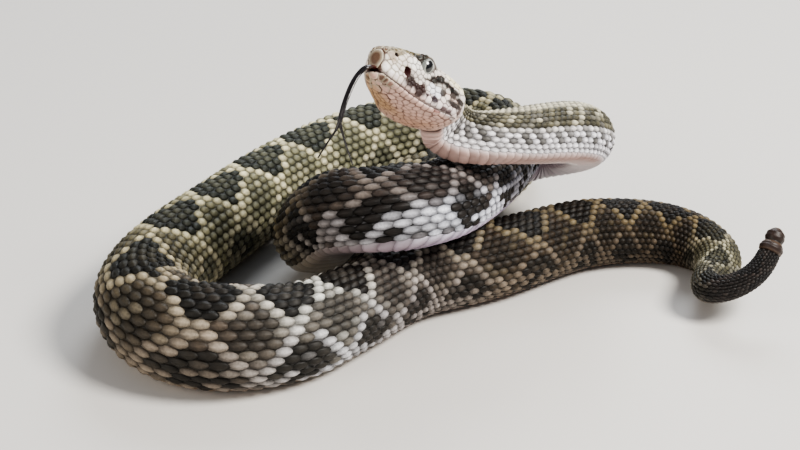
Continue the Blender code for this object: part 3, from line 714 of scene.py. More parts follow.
def soft_table(rows, reach):
    """The stations of a table sampled every 0.1 mm and rounded off between them."""
    table = np.array(rows, float)
    a = np.arange(table[0, 0], table[-1, 0] + 1e-6, 0.1)
    values = np.stack([np.interp(a, table[:, 0], table[:, k]) for k in range(1, table.shape[1])], axis=-1)
    out = values.copy()
    for i in range(len(a)):
        w = min(i, len(a) - 1 - i, int(reach * 10))
        if w > 0:
            kernel = np.hanning(2 * w + 3)[1:-1]
            out[i] = (values[i - w:i + w + 1] * kernel[:, None]).sum(0) / kernel.sum()
    return a, out


HEAD_A, HEAD_T = soft_table(HEAD_SECTIONS, 1.6)
LIP_LINE = np.array(MOUTH_LINE)


def head_values(a):
    return [np.interp(a, HEAD_A, HEAD_T[:, k]) for k in range(6)]


def lip_height(a):
    """The line where the lips meet; the upper lip comes down over the gap between the solids."""
    return np.interp(a, LIP_LINE[:, 0], LIP_LINE[:, 1]) - 0.25


def head_section(a, t):
    """Outer surface of the head: distance behind the snout, sideways, up. t is 0 on the crown and
    pi under the chin; positive is left."""
    ring = np.clip(a, 0.0, HEAD_LENGTH)
    half, top, middle, under, round_top, round_under = head_values(ring)
    c, s = np.cos(t), np.sin(t)
    power = np.where(c >= 0, round_top, round_under)
    ease = smooth((ring - 31.0) / 5.0)
    inset = HEAD_INSET * (1 - ease) + 0.50 * ease
    y = (half - inset) * np.sign(s) * np.abs(s) ** power
    tall = np.where(c >= 0, top - middle - inset, middle - under - inset)
    z = middle + tall * np.sign(c) * np.abs(c) ** power
    brow = np.exp(-((ring - 14.8) / 3.6) ** 4) * np.exp(-((np.abs(y) - 6.2) / 1.5) ** 2) * smooth((z - 3.2) / 1.2)
    z = z + 0.7 * brow
    # The crown dips between the brows.
    z = z - 0.35 * np.exp(-((ring - 13.5) / 5.5) ** 2) * np.exp(-(y / 2.6) ** 2) * (c > 0)
    face = np.clip(1 + np.minimum(a, 0.0) / 2.4, 0.0, 1.0)
    y = y * face
    z = (middle - 0.4) + (z - middle + 0.4) * face
    front = 0.30 + 0.14 * face ** 2
    a_out = np.where(a <= 0, front, 0.44 + a - 0.44 * smooth(a / 8.0))
    return a_out, y, z


def sculpt(a, y, z):
    """Lids, pits, nostrils and folds, as moves of points on the head's surface."""
    side = np.sign(y)
    out = np.abs(y)
    cheek = smooth((out - 2.6) / 1.0)
    # Lids: the skin rises to a rim round each eye, square to the way the eye looks.
    ea, ey, ez = EYE_CENTRE
    da, dy, dz = a - ea, out - ey, z - ez
    ahead_of = da * EYE_LOOK[0] + dy * EYE_LOOK[1] + dz * EYE_LOOK[2]
    ra, ry, rz = (d - ahead_of * e for d, e in zip((da, dy, dz), EYE_LOOK))
    rho = np.sqrt(ra ** 2 + ry ** 2 + rz ** 2)
    near = cheek * (out > 3.5) * (ahead_of > -2.0)
    lift = near * (1 - smooth((rho - EYE_OPEN - 0.15) / 2.1)) * np.maximum(EYE_RIM - ahead_of, 0.0)
    sink = near * (1 - smooth((rho - EYE_OPEN + 0.28) / 0.26)) * np.minimum(0.9 - ahead_of, 0.0)
    move = np.where(rho < EYE_OPEN - 0.15, sink, lift)
    a, out, z = a + move * EYE_LOOK[0], out + move * EYE_LOOK[1], z + move * EYE_LOOK[2]
    pa, py, pz, pr = PIT
    rho = np.hypot(a - pa, (z - pz) * 0.80)
    out = out + cheek * (0.16 * np.exp(-((rho - 1.45) / 0.45) ** 2) - 1.5 * np.exp(-(rho / 0.92) ** 4))
    na, ny, nz, nr = NOSTRIL
    rho = np.hypot(a - na, z - nz)
    out = out - cheek * (0.22 * np.exp(-((rho) / 1.7) ** 2) + 0.9 * np.exp(-(rho / 0.52) ** 4))
    # Hollow of the loreal region, between nostril and eye, and the fold behind the eye.
    out = out - cheek * 0.32 * np.exp(-((a - 9.6) / 1.7) ** 2 - ((z - 1.2) / 1.6) ** 2)
    out = out - cheek * 0.22 * np.exp(-((z - (1.9 - 0.22 * (a - 17.5))) / 0.8) ** 2) * smooth((a - 17) / 2) * smooth((31 - a) / 3)
    # Swell of the lips.
    lip = lip_height(a)
    out = out + cheek * 0.18 * np.exp(-((z - lip - 1.2) / 0.9) ** 2) * smooth(a / 2.0) * smooth((29 - a) / 3)
    # Notch under the snout, where the tongue comes out.
    arch = NOTCH_TOP + NOTCH_HALF - NOTCH_HALF * (1 - np.sqrt(np.clip(1 - (y / NOTCH_HALF) ** 2, 0, 1))) - NOTCH_HALF
    inside = smooth((arch - z) / 0.22 + 0.1) * (np.abs(y) < NOTCH_HALF) * smooth((4.0 - a) / 1.5)
    a = a + 4.0 * inside * (z > -6.0)
    return a, side * out, z


def upper_loop(a):
    """Parameters t of one side's samples: from the crown to the lip, then on to the midline below."""
    t = np.linspace(0, math.pi, 1441)
    a = max(a, 0.0)
    aa, y, z = head_section(np.full_like(t, a), t)
    below = z < lip_height(a)
    lip = (t[int(np.argmax(below))] if below.any() else 0.94 * math.pi) if a < LIP_A else None
    if lip is None:
        aa, y, z = head_section(np.full_like(t, LIP_A - 0.01), t)
        lip = t[int(np.argmax(z < lip_height(LIP_A)))]
    upper = np.linspace(0, 1, ACROSS_OUT, endpoint=False) * lip
    lower = lip + np.linspace(0, 1, ACROSS_IN + 1) * (math.pi - lip)
    return np.concatenate([upper, lower])


def head_rings():
    """Rings of the head's skin in head coordinates, and whether each point lies in the mouth."""
    places = np.concatenate([-2.4 * np.cos(np.linspace(0.02, math.pi / 2, 12))[:-1], np.arange(0, 3.0, 0.2),
                             np.arange(3.0, 26.4, 0.25), np.arange(26.4, 28.4, 0.15), np.arange(28.4, 36.01, 0.3)])
    rings, mouths = [], []
    for a in places:
        t = upper_loop(a)
        half_t = np.concatenate([t, -t[-2:0:-1]])
        aa, y, z = head_section(np.full_like(half_t, a), half_t)
        points = np.stack([aa, y, z], axis=-1)
        mouth = np.zeros(len(half_t))
        if a < 28.0:
            # Below the lip the skin turns inwards over the roof of the mouth.
            lip_point = points[ACROSS_OUT]
            w = 1 - smooth((a - LIP_A + 0.6) / 1.2)
            share = np.linspace(0, 1, ACROSS_IN + 1)
            roof_y = lip_point[1] * (1 - share)
            deep = smooth((a - 0.6) / 2.4)
            roof_z = (lip_point[2] - 0.20 * deep * np.sin(np.clip(share * 8, 0, 1) * math.pi)
                      + 1.45 * deep * smooth(share / 0.7))
            left = np.stack([np.full_like(share, lip_point[0]), roof_y, roof_z], axis=-1)
            right = left[-2:0:-1] * (1, -1, 1)
            points[ACROSS_OUT:ACROSS_OUT + ACROSS_IN + 1] = (
                points[ACROSS_OUT:ACROSS_OUT + ACROSS_IN + 1] * (1 - w) + left * w)
            start = ACROSS_OUT + ACROSS_IN + 1
            points[start:start + ACROSS_IN - 1] = points[start:start + ACROSS_IN - 1] * (1 - w) + right * w
            mouth[ACROSS_OUT + 2:start + ACROSS_IN - 3] = w * smooth((a - 1.0) / 1.0)
        points = np.stack(sculpt(*points.T), axis=-1)
        rings.append(points)
        mouths.append(mouth)
    return np.array(rings), np.array(mouths)


JAW_A, JAW_T = soft_table(JAW_SECTIONS, 1.5)


def jaw_rings(count=160):
    """The lower jaw, whose rear end runs on inside the throat."""
    places = np.concatenate([np.arange(0.9, 6.0, 0.2), np.arange(6.0, 31.2, 0.3)])
    rings = []
    t = np.linspace(0, 2 * math.pi, count, endpoint=False)
    c, s = np.cos(t), np.sin(t)
    for a in places:
        half, top, under = (float(np.interp(a, JAW_A, JAW_T[:, k])) for k in range(3))
        inset = 0.30
        w = smooth((a - 20.5) / 8.5)
        half_h, _, middle_h, under_h, _, round_h = (float(v) for v in head_values(a))
        lift = float(np.clip(lip_height(a) - 0.10 - top, -0.2, 0.9))
        top = top + lift
        lip_t = np.arccos(np.clip((lip_height(a) - middle_h) / (middle_h - under_h), -1, 1))
        lip_y = (half_h - HEAD_INSET) * math.sin(lip_t) ** round_h
        fuller = max(lip_y - 0.30 - (half - inset), 0.0)
        y = (half - inset) * np.sign(s) * np.abs(s) ** 0.95
        y = y + fuller * np.sign(s) * np.clip(np.abs(s), 0, 1) ** 6
        z = np.where(c > -1e-9, top - inset * 0.2, top - (top - under - inset) * np.abs(c) ** 0.95)
        angle = np.arccos(np.clip((lip_height(a) - middle_h) / (middle_h - under_h), -1, 1))
        sweep = angle + (math.pi - angle) * np.clip(-c, 0, 1)
        y_head = (half_h - inset - 0.10) * np.sign(s) * np.abs(np.sin(sweep)) ** round_h
        z_head = middle_h - (middle_h - under_h - inset) * np.abs(np.cos(sweep)) ** round_h
        y_head = np.where(c > -1e-9, s * (half_h - inset - 0.2) * 0.97, y_head)
        z_head = np.where(c > -1e-9, lip_height(a), z_head)
        y = y * (1 - w) + y_head * w
        z = z * (1 - w) + z_head * w
        # Groove along the chin, and the swell of the lower lip.
        z = z + 0.35 * np.exp(-(y / 0.45) ** 2) * (c < -0.5) * smooth((a - 3.5) / 2) * smooth((24 - a) / 6)
        shrink = smooth((a - 0.6) / 1.4) ** 0.5
        y = y * shrink
        drop = 1.8 * smooth((a - 28.2) / 2.8)
        y = y * (1 - 0.10 * drop)
        z = z + (drop * 0.6) * (c < 0)
        rings.append(np.stack([np.full(count, a), y, z], axis=-1))
    return np.array(rings)


def head_frame(points):
    """From head coordinates (behind the snout, left, up) to the frame of the sizes."""
    ahead, left, up = head_axes()
    p = np.asarray(points, float)
    return np.array(SNOUT_TIP) - p[..., :1] * ahead + p[..., 1:2] * left + p[..., 2:3] * up


# ------------------------------------------------------------------ colours of the head
HEAD_TINTS = {
    "crown": (120, 110, 78), "crown_dark": (44, 40, 26), "side": (224, 217, 210), "cream": (230, 222, 190),
    # The last tint on the next line is painted shade for the chin's right half.
    "lip": (226, 215, 212), "lower_lip": (220, 190, 178), "chin": (196, 156, 124), "chin_shaded": (184, 154, 116),
    # The dark maroon on the next line is painted shade for the inside of the mouth and the head's hollows.
    "throat": (222, 194, 180), "hollow_shade": (66, 20, 18), "rostral": (108, 82, 62), "gap": (92, 62, 54),
    "pale_edge": (240, 231, 210),
}
# Marks on the side of the head: distance behind the snout, height, half-length, half-height,
# tilt in degrees (rising towards the neck), colour, strength.
HEAD_MARKS = (
    ("white_cheek", 9.4, 1.6, 2.4, 1.7, 0, (246, 244, 240), 0.8),
    ("white_lip", 3.3, -2.7, 2.5, 1.3, 0, (246, 243, 240), 0.8),
    ("blue_white", 18.0, -2.6, 3.2, 1.5, -8, (240, 242, 248), 0.8),
    ("cream_temple", 27.0, 2.8, 6.0, 2.0, -6, (236, 228, 198), 0.9),
    ("pink_temple", 24.6, -2.1, 3.6, 1.0, -4, (226, 204, 194), 0.7),
    ("pink_lip", 11.5, -6.0, 7.0, 0.8, -4, (228, 204, 196), 0.8),
    ("snout_top", 1.0, 2.5, 2.4, 1.3, 30, (84, 70, 46), 0.9),
    ("snout_side", 2.2, 0.4, 1.4, 1.6, 30, (166, 146, 128), 0.8),
    ("nasal_patch", 4.3, 2.9, 1.4, 1.4, 0, (112, 98, 66), 0.9),
    ("canthal_patch", 8.2, 4.3, 1.6, 1.1, 12, (118, 108, 76), 0.9),
    ("preocular_dark", 11.2, 4.3, 2.1, 1.6, 20, (36, 36, 20), 0.99),
    ("brow", 15.6, 5.7, 2.9, 1.0, 0, (236, 234, 224), 0.95),
    ("behind_eye", 17.5, 3.9, 1.5, 0.9, 35, (112, 112, 104), 0.85),
    ("under_pit", 10.6, -1.5, 2.0, 0.8, -15, (188, 178, 172), 0.7),
    ("under_eye", 14.6, -0.7, 1.5, 0.6, 12, (92, 90, 84), 0.9),
    ("stripe_1", 16.9, 0.1, 2.2, 1.05, 15, (30, 28, 20), 0.99),
    ("stripe_2", 19.4, 1.4, 1.8, 1.45, 8, (26, 24, 16), 0.99),
    ("stripe_3", 22.5, 0.7, 2.2, 1.2, -18, (28, 25, 16), 0.99),
    ("stripe_4", 25.3, 0.0, 2.0, 1.05, -10, (30, 25, 16), 0.99),
    ("stripe_5", 27.9, -1.6, 2.1, 0.95, -6, (34, 24, 16), 0.99),
    ("stripe_low_1", 20.8, -1.9, 1.2, 0.75, 0, (54, 46, 38), 0.95),
    ("stripe_low_2", 24.3, -1.3, 1.2, 0.75, 0, (44, 34, 26), 0.95),
    ("lower_line", 25.9, -3.5, 3.3, 0.80, 0, (44, 28, 22), 0.98),
    ("lower_end", 28.8, -4.3, 0.6, 1.2, 0, (60, 38, 30), 0.9),
    ("streak_front", 9.3, -3.6, 2.3, 1.55, -8, (44, 16, 10), 0.98),
    ("streak_rear", 12.7, -4.5, 2.6, 1.45, -8, (50, 17, 9), 0.98),
    ("streak_top", 13.7, -3.1, 0.7, 1.0, 0, (64, 28, 18), 0.95),
    ("lip_spot_1", 15.9, -5.0, 0.6, 0.7, 0, (70, 48, 60), 0.95),
    ("lip_spot_2", 18.6, -4.7, 1.15, 0.95, 0, (44, 28, 46), 0.98),
    ("lip_spot_3", 22.6, -5.9, 1.0, 0.55, 0, (84, 56, 60), 0.9),
    ("lip_spot_4", 24.9, -5.8, 0.9, 0.5, 0, (84, 56, 60), 0.9),
    ("lower_spot", 21.4, -7.1, 1.4, 0.45, 0, (128, 82, 74), 0.8),
    ("mental_side", 2.6, -5.9, 1.2, 0.8, -40, (98, 76, 54), 0.9),
    ("lower_lip_1", 4.7, -6.6, 1.0, 0.6, -20, (136, 104, 86), 0.8),
)


def head_marking(points, seeds=None):
    """Colour of the head at each point; seeds are the places of the plates that the points lie on."""
    tint = {name: linear(rgb) for name, rgb in HEAD_TINTS.items()}
    seeds = points if seeds is None else seeds
    a, y, z = points[:, 0], np.abs(points[:, 1]), points[:, 2]
    dice = hashed(np.round(seeds[:, 0] * 5), np.round(seeds[:, 1] * 5), np.round(seeds[:, 2] * 5))
    dice2 = hashed(np.round(seeds[:, 0] * 9), np.round(seeds[:, 1] * 7), np.round(seeds[:, 2] * 3))
    grain = hashed(np.round(points[:, 0] * 3.1), np.round(points[:, 1] * 2.7), np.round(points[:, 2] * 3.3))
    colour = np.broadcast_to(tint["side"], (len(a), 3)).copy()
    lip = lip_height(a)
    colour = mix(colour, tint["lip"], (1 - smooth((z - lip - 2.4) / 0.8)) * 0.9)
    # Crown: olive, mottled, with a pale bar before the eyes and two dark bands to the nape.
    crown = smooth((z - np.interp(a, HEAD_A, HEAD_T[:, 1]) + 1.75) / 0.9)
    mottled = mix(np.broadcast_to(tint["crown"], colour.shape), tint["crown_dark"], (dice > 0.52) * 0.85)
    mottled = mix(mottled, tint["cream"], (dice2 > 0.80) * 0.5)
    bands = np.exp(-((y - 4.2) / 1.3) ** 2) * smooth((a - 19) / 4)
    mottled = mix(mottled, tint["crown_dark"], bands * 0.8)
    bar = np.exp(-((a - 11.2) / 1.0) ** 2) * (1 - smooth((y - 3.0) / 1.5))
    mottled = mix(mottled, tint["cream"], bar * 0.7)
    colour = mix(colour, mottled, crown)
    # Lower lip, chin and throat.
    under = smooth((lip - 0.2 - z) / 0.5)
    colour = mix(colour, tint["lower_lip"], under)
    chin = smooth((lip - 1.8 - z) / 1.6) * (1 - 0.45 * smooth((a - 14) / 10))
    colour = mix(colour, tint["chin"], chin)
    # Painted shade: the chin's right half, away from the light, is painted a deeper tan.
    colour = mix(colour, tint["chin_shaded"], under * smooth((1.2 - points[:, 1]) / 4.0) * (1 - smooth((a - 16) / 10)) * 0.8)
    colour = mix(colour, tint["throat"], smooth((a - 26) / 8) * smooth((-3.5 - z) / 2) * 0.8)
    nape = smooth((a - 31) / 4) * smooth((z + 1) / 3)
    colour = mix(colour, linear((150, 144, 116)), nape * (0.35 + 0.5 * (dice > 0.5)))
    # Named marks; each plate leans a little to one side or the other of a mark's edge.
    for _, mark_a, mark_z, long, tall, tilt, rgb, strength in HEAD_MARKS:
        c, s = math.cos(math.radians(tilt)), math.sin(math.radians(tilt))
        da, dz = a - mark_a, z - mark_z
        far = np.hypot((da * c + dz * s) / long, (dz * c - da * s) / tall) + (dice - 0.5) * 0.35
        mask = (1 - smooth((far - 0.72) / 0.42)) * (y > 1.8 + 2.0 * (mark_a > 5))
        mask = mask * np.where((strength > 0.985) & (dice2 > 0.86), 0.5, 1.0) * (0.96 + 0.04 * grain)
        colour = mix(colour, linear(rgb), mask * strength)
    # Rostral.
    snout = (1 - smooth((a - 1.7) / 0.8)) * (1 - smooth((y - 2.1) / 0.4)) * (z > -4.4)
    colour = mix(colour, tint["rostral"], snout * 0.97)
    return np.clip(colour * (0.90 + 0.2 * dice)[:, None], 0, 1)


# ------------------------------------------------------------------ plates of the head
# Named plates: distance behind the snout, sideways, up, length along the head, width across, height.
PLATES = {
    "rostral": ((0.4, 0.0, -0.9, 4.7, 3.7, 0.30),),
    "mental": ((1.3, 0.0, -5.6, 1.6, 2.6, 0.26),),
    "internasal": ((1.9, 1.35, 3.2, 2.0, 2.2, 0.28),),
    "prenasal": ((2.0, 3.5, 0.9, 1.9, 2.6, 0.28),),
    "postnasal": ((5.1, 5.0, 1.4, 1.7, 2.2, 0.28),),
    "first_lip": ((1.6, 3.1, -2.6, 1.9, 2.9, 0.28), (3.8, 4.4, -2.2, 1.9, 1.9, 0.27)),
    "canthal": ((4.6, 3.6, 4.0, 2.3, 2.1, 0.30), (7.0, 4.6, 4.5, 2.1, 1.9, 0.30), (9.2, 5.0, 5.0, 1.9, 1.8, 0.30),
                (11.2, 5.2, 5.5, 1.8, 1.7, 0.30)),
    "loreal": ((7.5, 6.2, 2.1, 1.8, 2.0, 0.26), (9.3, 6.6, 2.7, 1.4, 1.7, 0.24)),
    "preocular": ((10.9, 7.0, 4.1, 1.9, 1.5, 0.26), (9.2, 7.0, 0.4, 2.4, 1.7, 0.26)),
    "supraocular": ((14.8, 5.7, 6.9, 5.6, 3.2, 0.34),),
    "chin_shield": ((6.4, 1.5, -7.6, 4.6, 2.3, 0.24), (10.4, 1.3, -8.4, 2.6, 1.8, 0.22)),
}
UPPER_LIP = (3.0, 4.5, 6.0, 7.5, 9.2, 11.0, 12.9, 14.9, 16.9, 18.9, 20.9, 22.8, 24.6, 26.3)
LOWER_LIP = (2.2, 3.4, 4.9, 6.4, 8.1, 9.9, 11.8, 13.8, 15.8, 17.8, 19.8, 21.8, 23.7, 25.5)


def named_seeds():
    rows = []
    for name, plates in PLATES.items():
        for a, y, z, long, wide, tall in plates:
            for side in ((0,) if y == 0 else (1, -1)):
                rows.append((a, y * (side or 1), z, long, wide, tall, 0.0))
    for i, a in enumerate(UPPER_LIP):
        half = float(np.interp(a, HEAD_A, HEAD_T[:, 0]))
        for side in (1, -1):
            rows.append((a, side * half * 0.97, lip_height(a) + 1.15, 1.75, 2.35, 0.27, 0.0))
    for i, a in enumerate(LOWER_LIP):
        half = float(np.interp(a, JAW_A, JAW_T[:, 0]))
        for side in (1, -1):
            rows.append((a, side * half * 0.98, float(np.interp(a, JAW_A, JAW_T[:, 1])) - 0.75, 1.9, 1.9, 0.24, 0.0))
    ea, ey, ez = EYE_CENTRE
    for side in (1, -1):
        for k in range(13):
            angle = 2 * math.pi * k / 13 + 0.2
            if 0.9 < angle < 2.3:
                continue      # the brow plate lies here
            rows.append((ea + 2.95 * math.cos(angle), side * 8.0, ez + 2.95 * math.sin(angle), 1.35, 1.25, 0.24, 0.0))
    return np.array(rows)


def small_size(a, y, z):
    """Length and width of the small scales at a place on the head."""
    lip = lip_height(a)
    size = np.interp(a, (0, 6, 14, 22, 30, 36), (1.15, 1.2, 1.25, 1.5, 1.85, 2.2))
    crown = smooth((z - 3.0) / 2.0)
    size = size * (1 - 0.12 * crown)
    side = smooth((a - 16) / 4) * (1 - crown) * (z > lip)
    size = size * (1 + 0.10 * side)
    chin = (z < lip - 0.3)
    long = np.where(chin, np.interp(a, (0, 10, 26, 36), (1.8, 2.2, 2.5, 2.8)), size * 1.12)
    wide = np.where(chin, np.interp(a, (0, 10, 26, 36), (1.1, 1.3, 1.6, 1.9)), size * 0.96)
    return long, wide


def buried(tree, points, depth):
    """Which points lie inside a closed surface by more than this depth."""
    found = np.zeros(len(points), bool)
    for i, p in enumerate(points):
        where, normal, _, _ = tree.find_nearest(Vector(p))
        found[i] = (Vector(p) - where).dot(normal) < -depth
    return found


def head_plates(skin_tree, jaw_tree, skin_points, skin_normals, on_jaw, rng):
    """Close-set raised plates over the head: named ones first, then small ones wherever there is room."""
    fixed = named_seeds()
    snap = []
    jaws = [bool(row[2] < lip_height(row[0]) - 0.1 and row[0] < 27) for row in fixed]
    for row, low in zip(fixed, jaws):
        tree = jaw_tree if low else skin_tree
        where, normal, _, _ = tree.find_nearest(Vector(row[:3]))
        snap.append((*where, *normal))
    snap = np.array(snap)
    order = rng.permutation(len(skin_points))
    loose, loose_n, loose_jaw = skin_points[order], skin_normals[order], on_jaw[order]
    long, wide = small_size(loose[:, 0], loose[:, 1], loose[:, 2])
    spots = [np.array([*snap[i, :3], fixed[i, 3], fixed[i, 4]]) for i in range(len(fixed))]
    normals = [snap[i, 3:] for i in range(len(fixed))]
    talls = list(fixed[:, 5])
    kept = np.zeros((6000, 5))
    kept[:len(spots)] = spots
    filled = len(spots)
    back = np.array([1.0, 0.0, 0.0])
    lies = back + np.array([0.0, 0.0, 0.9]) * np.exp(-(loose[:, :1] / 1.6) ** 2)
    lies = unit(lies - loose_n * np.sum(lies * loose_n, axis=1, keepdims=True))
    for i in range(len(loose)):
        p = loose[i]
        gap = kept[:filled, :3] - p
        close = np.abs(gap).max(axis=1) < 5.0
        if close.any():
            g, rest = gap[close], kept[:filled][close]
            x = g @ lies[i]
            d = np.linalg.norm(g, axis=1) + 1e-9
            cosine = np.clip(np.abs(x) / d, 0, 1)
            sine = np.sqrt(1 - cosine ** 2)
            mine = 1 / np.sqrt((cosine / long[i]) ** 2 + (sine / wide[i]) ** 2)
            theirs = 1 / np.sqrt((cosine / rest[:, 3]) ** 2 + (sine / rest[:, 4]) ** 2)
            if (d < 0.425 * (mine + theirs)).any():
                continue
        kept[filled] = (*p, long[i], wide[i])
        normals.append(loose_n[i])
        talls.append(0.25)
        jaws.append(bool(loose_jaw[i]))
        filled += 1
    seeds = kept[:filled]
    normals, talls = np.array(normals), np.array(talls)
    named = len(fixed)

    # Frames on the surface: along is towards the neck.
    along = back + np.array([0.0, 0.0, 0.9]) * np.exp(-(seeds[:, :1] / 1.6) ** 2)
    along = unit(along - normals * np.sum(along * normals, axis=1, keepdims=True))
    across = np.cross(normals, along)
    directions = 16
    phi = np.arange(directions) * 2 * math.pi / directions
    reach = np.full((filled, directions), 1e9)
    strength = 14.0
    for i in range(filled):
        gap = seeds[:, :3] - seeds[i, :3]
        d = np.linalg.norm(gap, axis=1)
        near = (d > 1e-6) & (d < 1.6 * (max(seeds[i, 3], seeds[i, 4]) + 3.2)) & (normals @ normals[i] > -0.1)
        g = gap[near]
        x, y = g @ along[i], g @ across[i]
        flat = np.hypot(x, y) + 1e-9
        d3 = d[near]
        angle = np.arctan2(y, x)
        cosine, sine = np.abs(np.cos(angle)), np.abs(np.sin(angle))
        mine = 1 / np.sqrt((cosine / seeds[i, 3]) ** 2 + (sine / seeds[i, 4]) ** 2)
        theirs = 1 / np.sqrt((cosine / seeds[near, 3]) ** 2 + (sine / seeds[near, 4]) ** 2)
        wall = d3 * mine / (mine + theirs)
        facing = np.clip(np.cos(phi[None] - angle[:, None]), 0, None)
        total = ((facing / wall[:, None]) ** strength).sum(axis=0)
        most = 0.86 / np.sqrt((np.cos(phi) / seeds[i, 3]) ** 2 + (np.sin(phi) / seeds[i, 4]) ** 2)
        reach[i] = np.minimum(total ** (-1 / strength) * 1.03, most)
    reach = reach * 0.975 - 0.03

    ring_share = np.array([0.0, 0.5, 0.82, 1.0])
    ring_up = np.array([1.0, 0.94, 0.72, 0.30])
    verts = []
    for k, (share, lift) in enumerate(zip(ring_share, ring_up)):
        wide_ring = (seeds[:, None, :3] + along[:, None] * (reach * np.cos(phi) * share)[..., None]
                     + across[:, None] * (reach * np.sin(phi) * share)[..., None])
        verts.append(wide_ring if k else wide_ring[:, :1])
    keel = np.where(talls < 0.26, 0.05, 0.0) * (seeds[:, 2] > 0)
    points = np.concatenate(verts, axis=1)
    count, per = points.shape[:2]
    flat = points.reshape(-1, 3)
    chin = np.repeat(np.array(jaws), per)
    put = np.empty_like(flat)
    out = np.empty_like(flat)
    for i in range(len(flat)):
        tree = jaw_tree if chin[i] else skin_tree
        where, normal, _, _ = tree.find_nearest(Vector(flat[i]))
        put[i] = where
        out[i] = normal
    put, out = put.reshape(count, per, 3), out.reshape(count, per, 3)
    out = unit(out * 0.5 + normals[:, None] * 0.8)
    lift = np.concatenate([[ring_up[0]]] + [np.full(directions, ring_up[k]) for k in (1, 2, 3)])
    angle = np.concatenate([[0.0]] + [phi] * 3)
    share = np.concatenate([[0.0]] + [np.full(directions, ring_share[k]) for k in (1, 2, 3)])
    tall = talls[:, None] * (lift + 0.16 * share * np.cos(angle))[None]
    tall = tall + keel[:, None] * (np.abs(np.sin(angle)) < 0.2)[None] * (share < 0.95)
    top = put + out * tall[..., None]
    rim = put[:, -directions:] - out[:, -directions:] * 0.22
    points = np.concatenate([top, rim], axis=1)
    per = points.shape[1]
    # Painted shade: each plate darkens down its sloping edge to its underside, with a little painted highlight on its
    # middle.
    shade = np.concatenate([[1.04], np.full(directions, 1.0), np.full(directions, 0.97), np.full(directions, 0.74),
                            np.full(directions, 0.30)])
    # Dark lines between the plates, but a pale margin round those of the snout and the lip's front.
    pale = (1 - smooth((seeds[:, 0] - 6.0) / 2.5)) * smooth((seeds[:, 2] + 8.0) / 1.0)
    edge = mix(np.broadcast_to(linear(HEAD_TINTS["gap"]), (count, 3)), linear(HEAD_TINTS["pale_edge"]), pale * 0.85)
    own = np.repeat(seeds[:, :3], per, axis=0)
    blend = own * 0.30 + points.reshape(-1, 3) * 0.70
    colours = head_marking(blend, own).reshape(count, per, 3)
    tint = colours * shade[None, :, None]
    edge_share = np.concatenate([[0.0], np.full(directions, 0.0), np.full(directions, 0.05), np.full(directions, 0.40),
                                 np.full(directions, 0.9)])
    edge_share = edge_share[None] * (1 + pale[:, None] * np.concatenate([[0.0], np.full(directions, 0.0),
                                     np.full(directions, 7.0), np.full(directions, 1.0), np.full(directions, 0.0)])[None])
    edge_share = np.clip(edge_share, 0, 0.95)[..., None]
    tint = tint * (1 - edge_share) + edge[:, None] * edge_share * 0.8
    faces = []
    one = np.arange(directions)
    two = np.roll(one, -1)
    offset = np.arange(count)[:, None, None] * per
    centre = np.stack([np.zeros(directions, int), 1 + one, 1 + two], axis=-1)
    faces.append((centre[None] + offset).reshape(-1, 3))
    for k in range(3):
        a0, b0 = 1 + k * directions, 1 + (k + 1) * directions
        quad = np.stack([a0 + one, b0 + one, b0 + two, a0 + two], axis=-1)
        faces.append((quad[None] + offset).reshape(-1, 4))
    base = (1 + 3 * directions + one)[::-1]
    faces.append((base[None, None] + offset).reshape(-1, directions))
    u = 0.03 + 0.94 * seeds[:, 0] / 38.0
    v = 0.5 + 0.46 * np.arctan2(seeds[:, 1], seeds[:, 2] + 2.0) / math.pi
    local = np.stack([np.cos(angle) * share, np.sin(angle) * share], axis=-1) * 0.0015
    local = np.concatenate([local, local[-directions:]], axis=0)
    uvs = np.stack([u, v], axis=-1)[:, None] + local[None]
    return make_mesh("head_plates", head_frame(points.reshape(-1, 3)), faces, np.clip(tint, 0, 1).reshape(-1, 3),
                     uvs.reshape(-1, 2))


# ------------------------------------------------------------------ one skin for head and body
def stitch(rings_a, rings_b):
    """Triangles between a ring of 2n points and the ring of n points after it."""
    n = len(rings_b)
    j = np.arange(n)
    k = (j + 1) % n
    a0, a1, a2 = rings_a[(2 * j) % (2 * n)], rings_a[2 * j + 1], rings_a[(2 * j + 2) % (2 * n)]
    return np.concatenate([np.stack([a0, a1, rings_b[j]], -1), np.stack([a1, rings_b[k], rings_b[j]], -1),
                           np.stack([a1, a2, rings_b[k]], -1)])


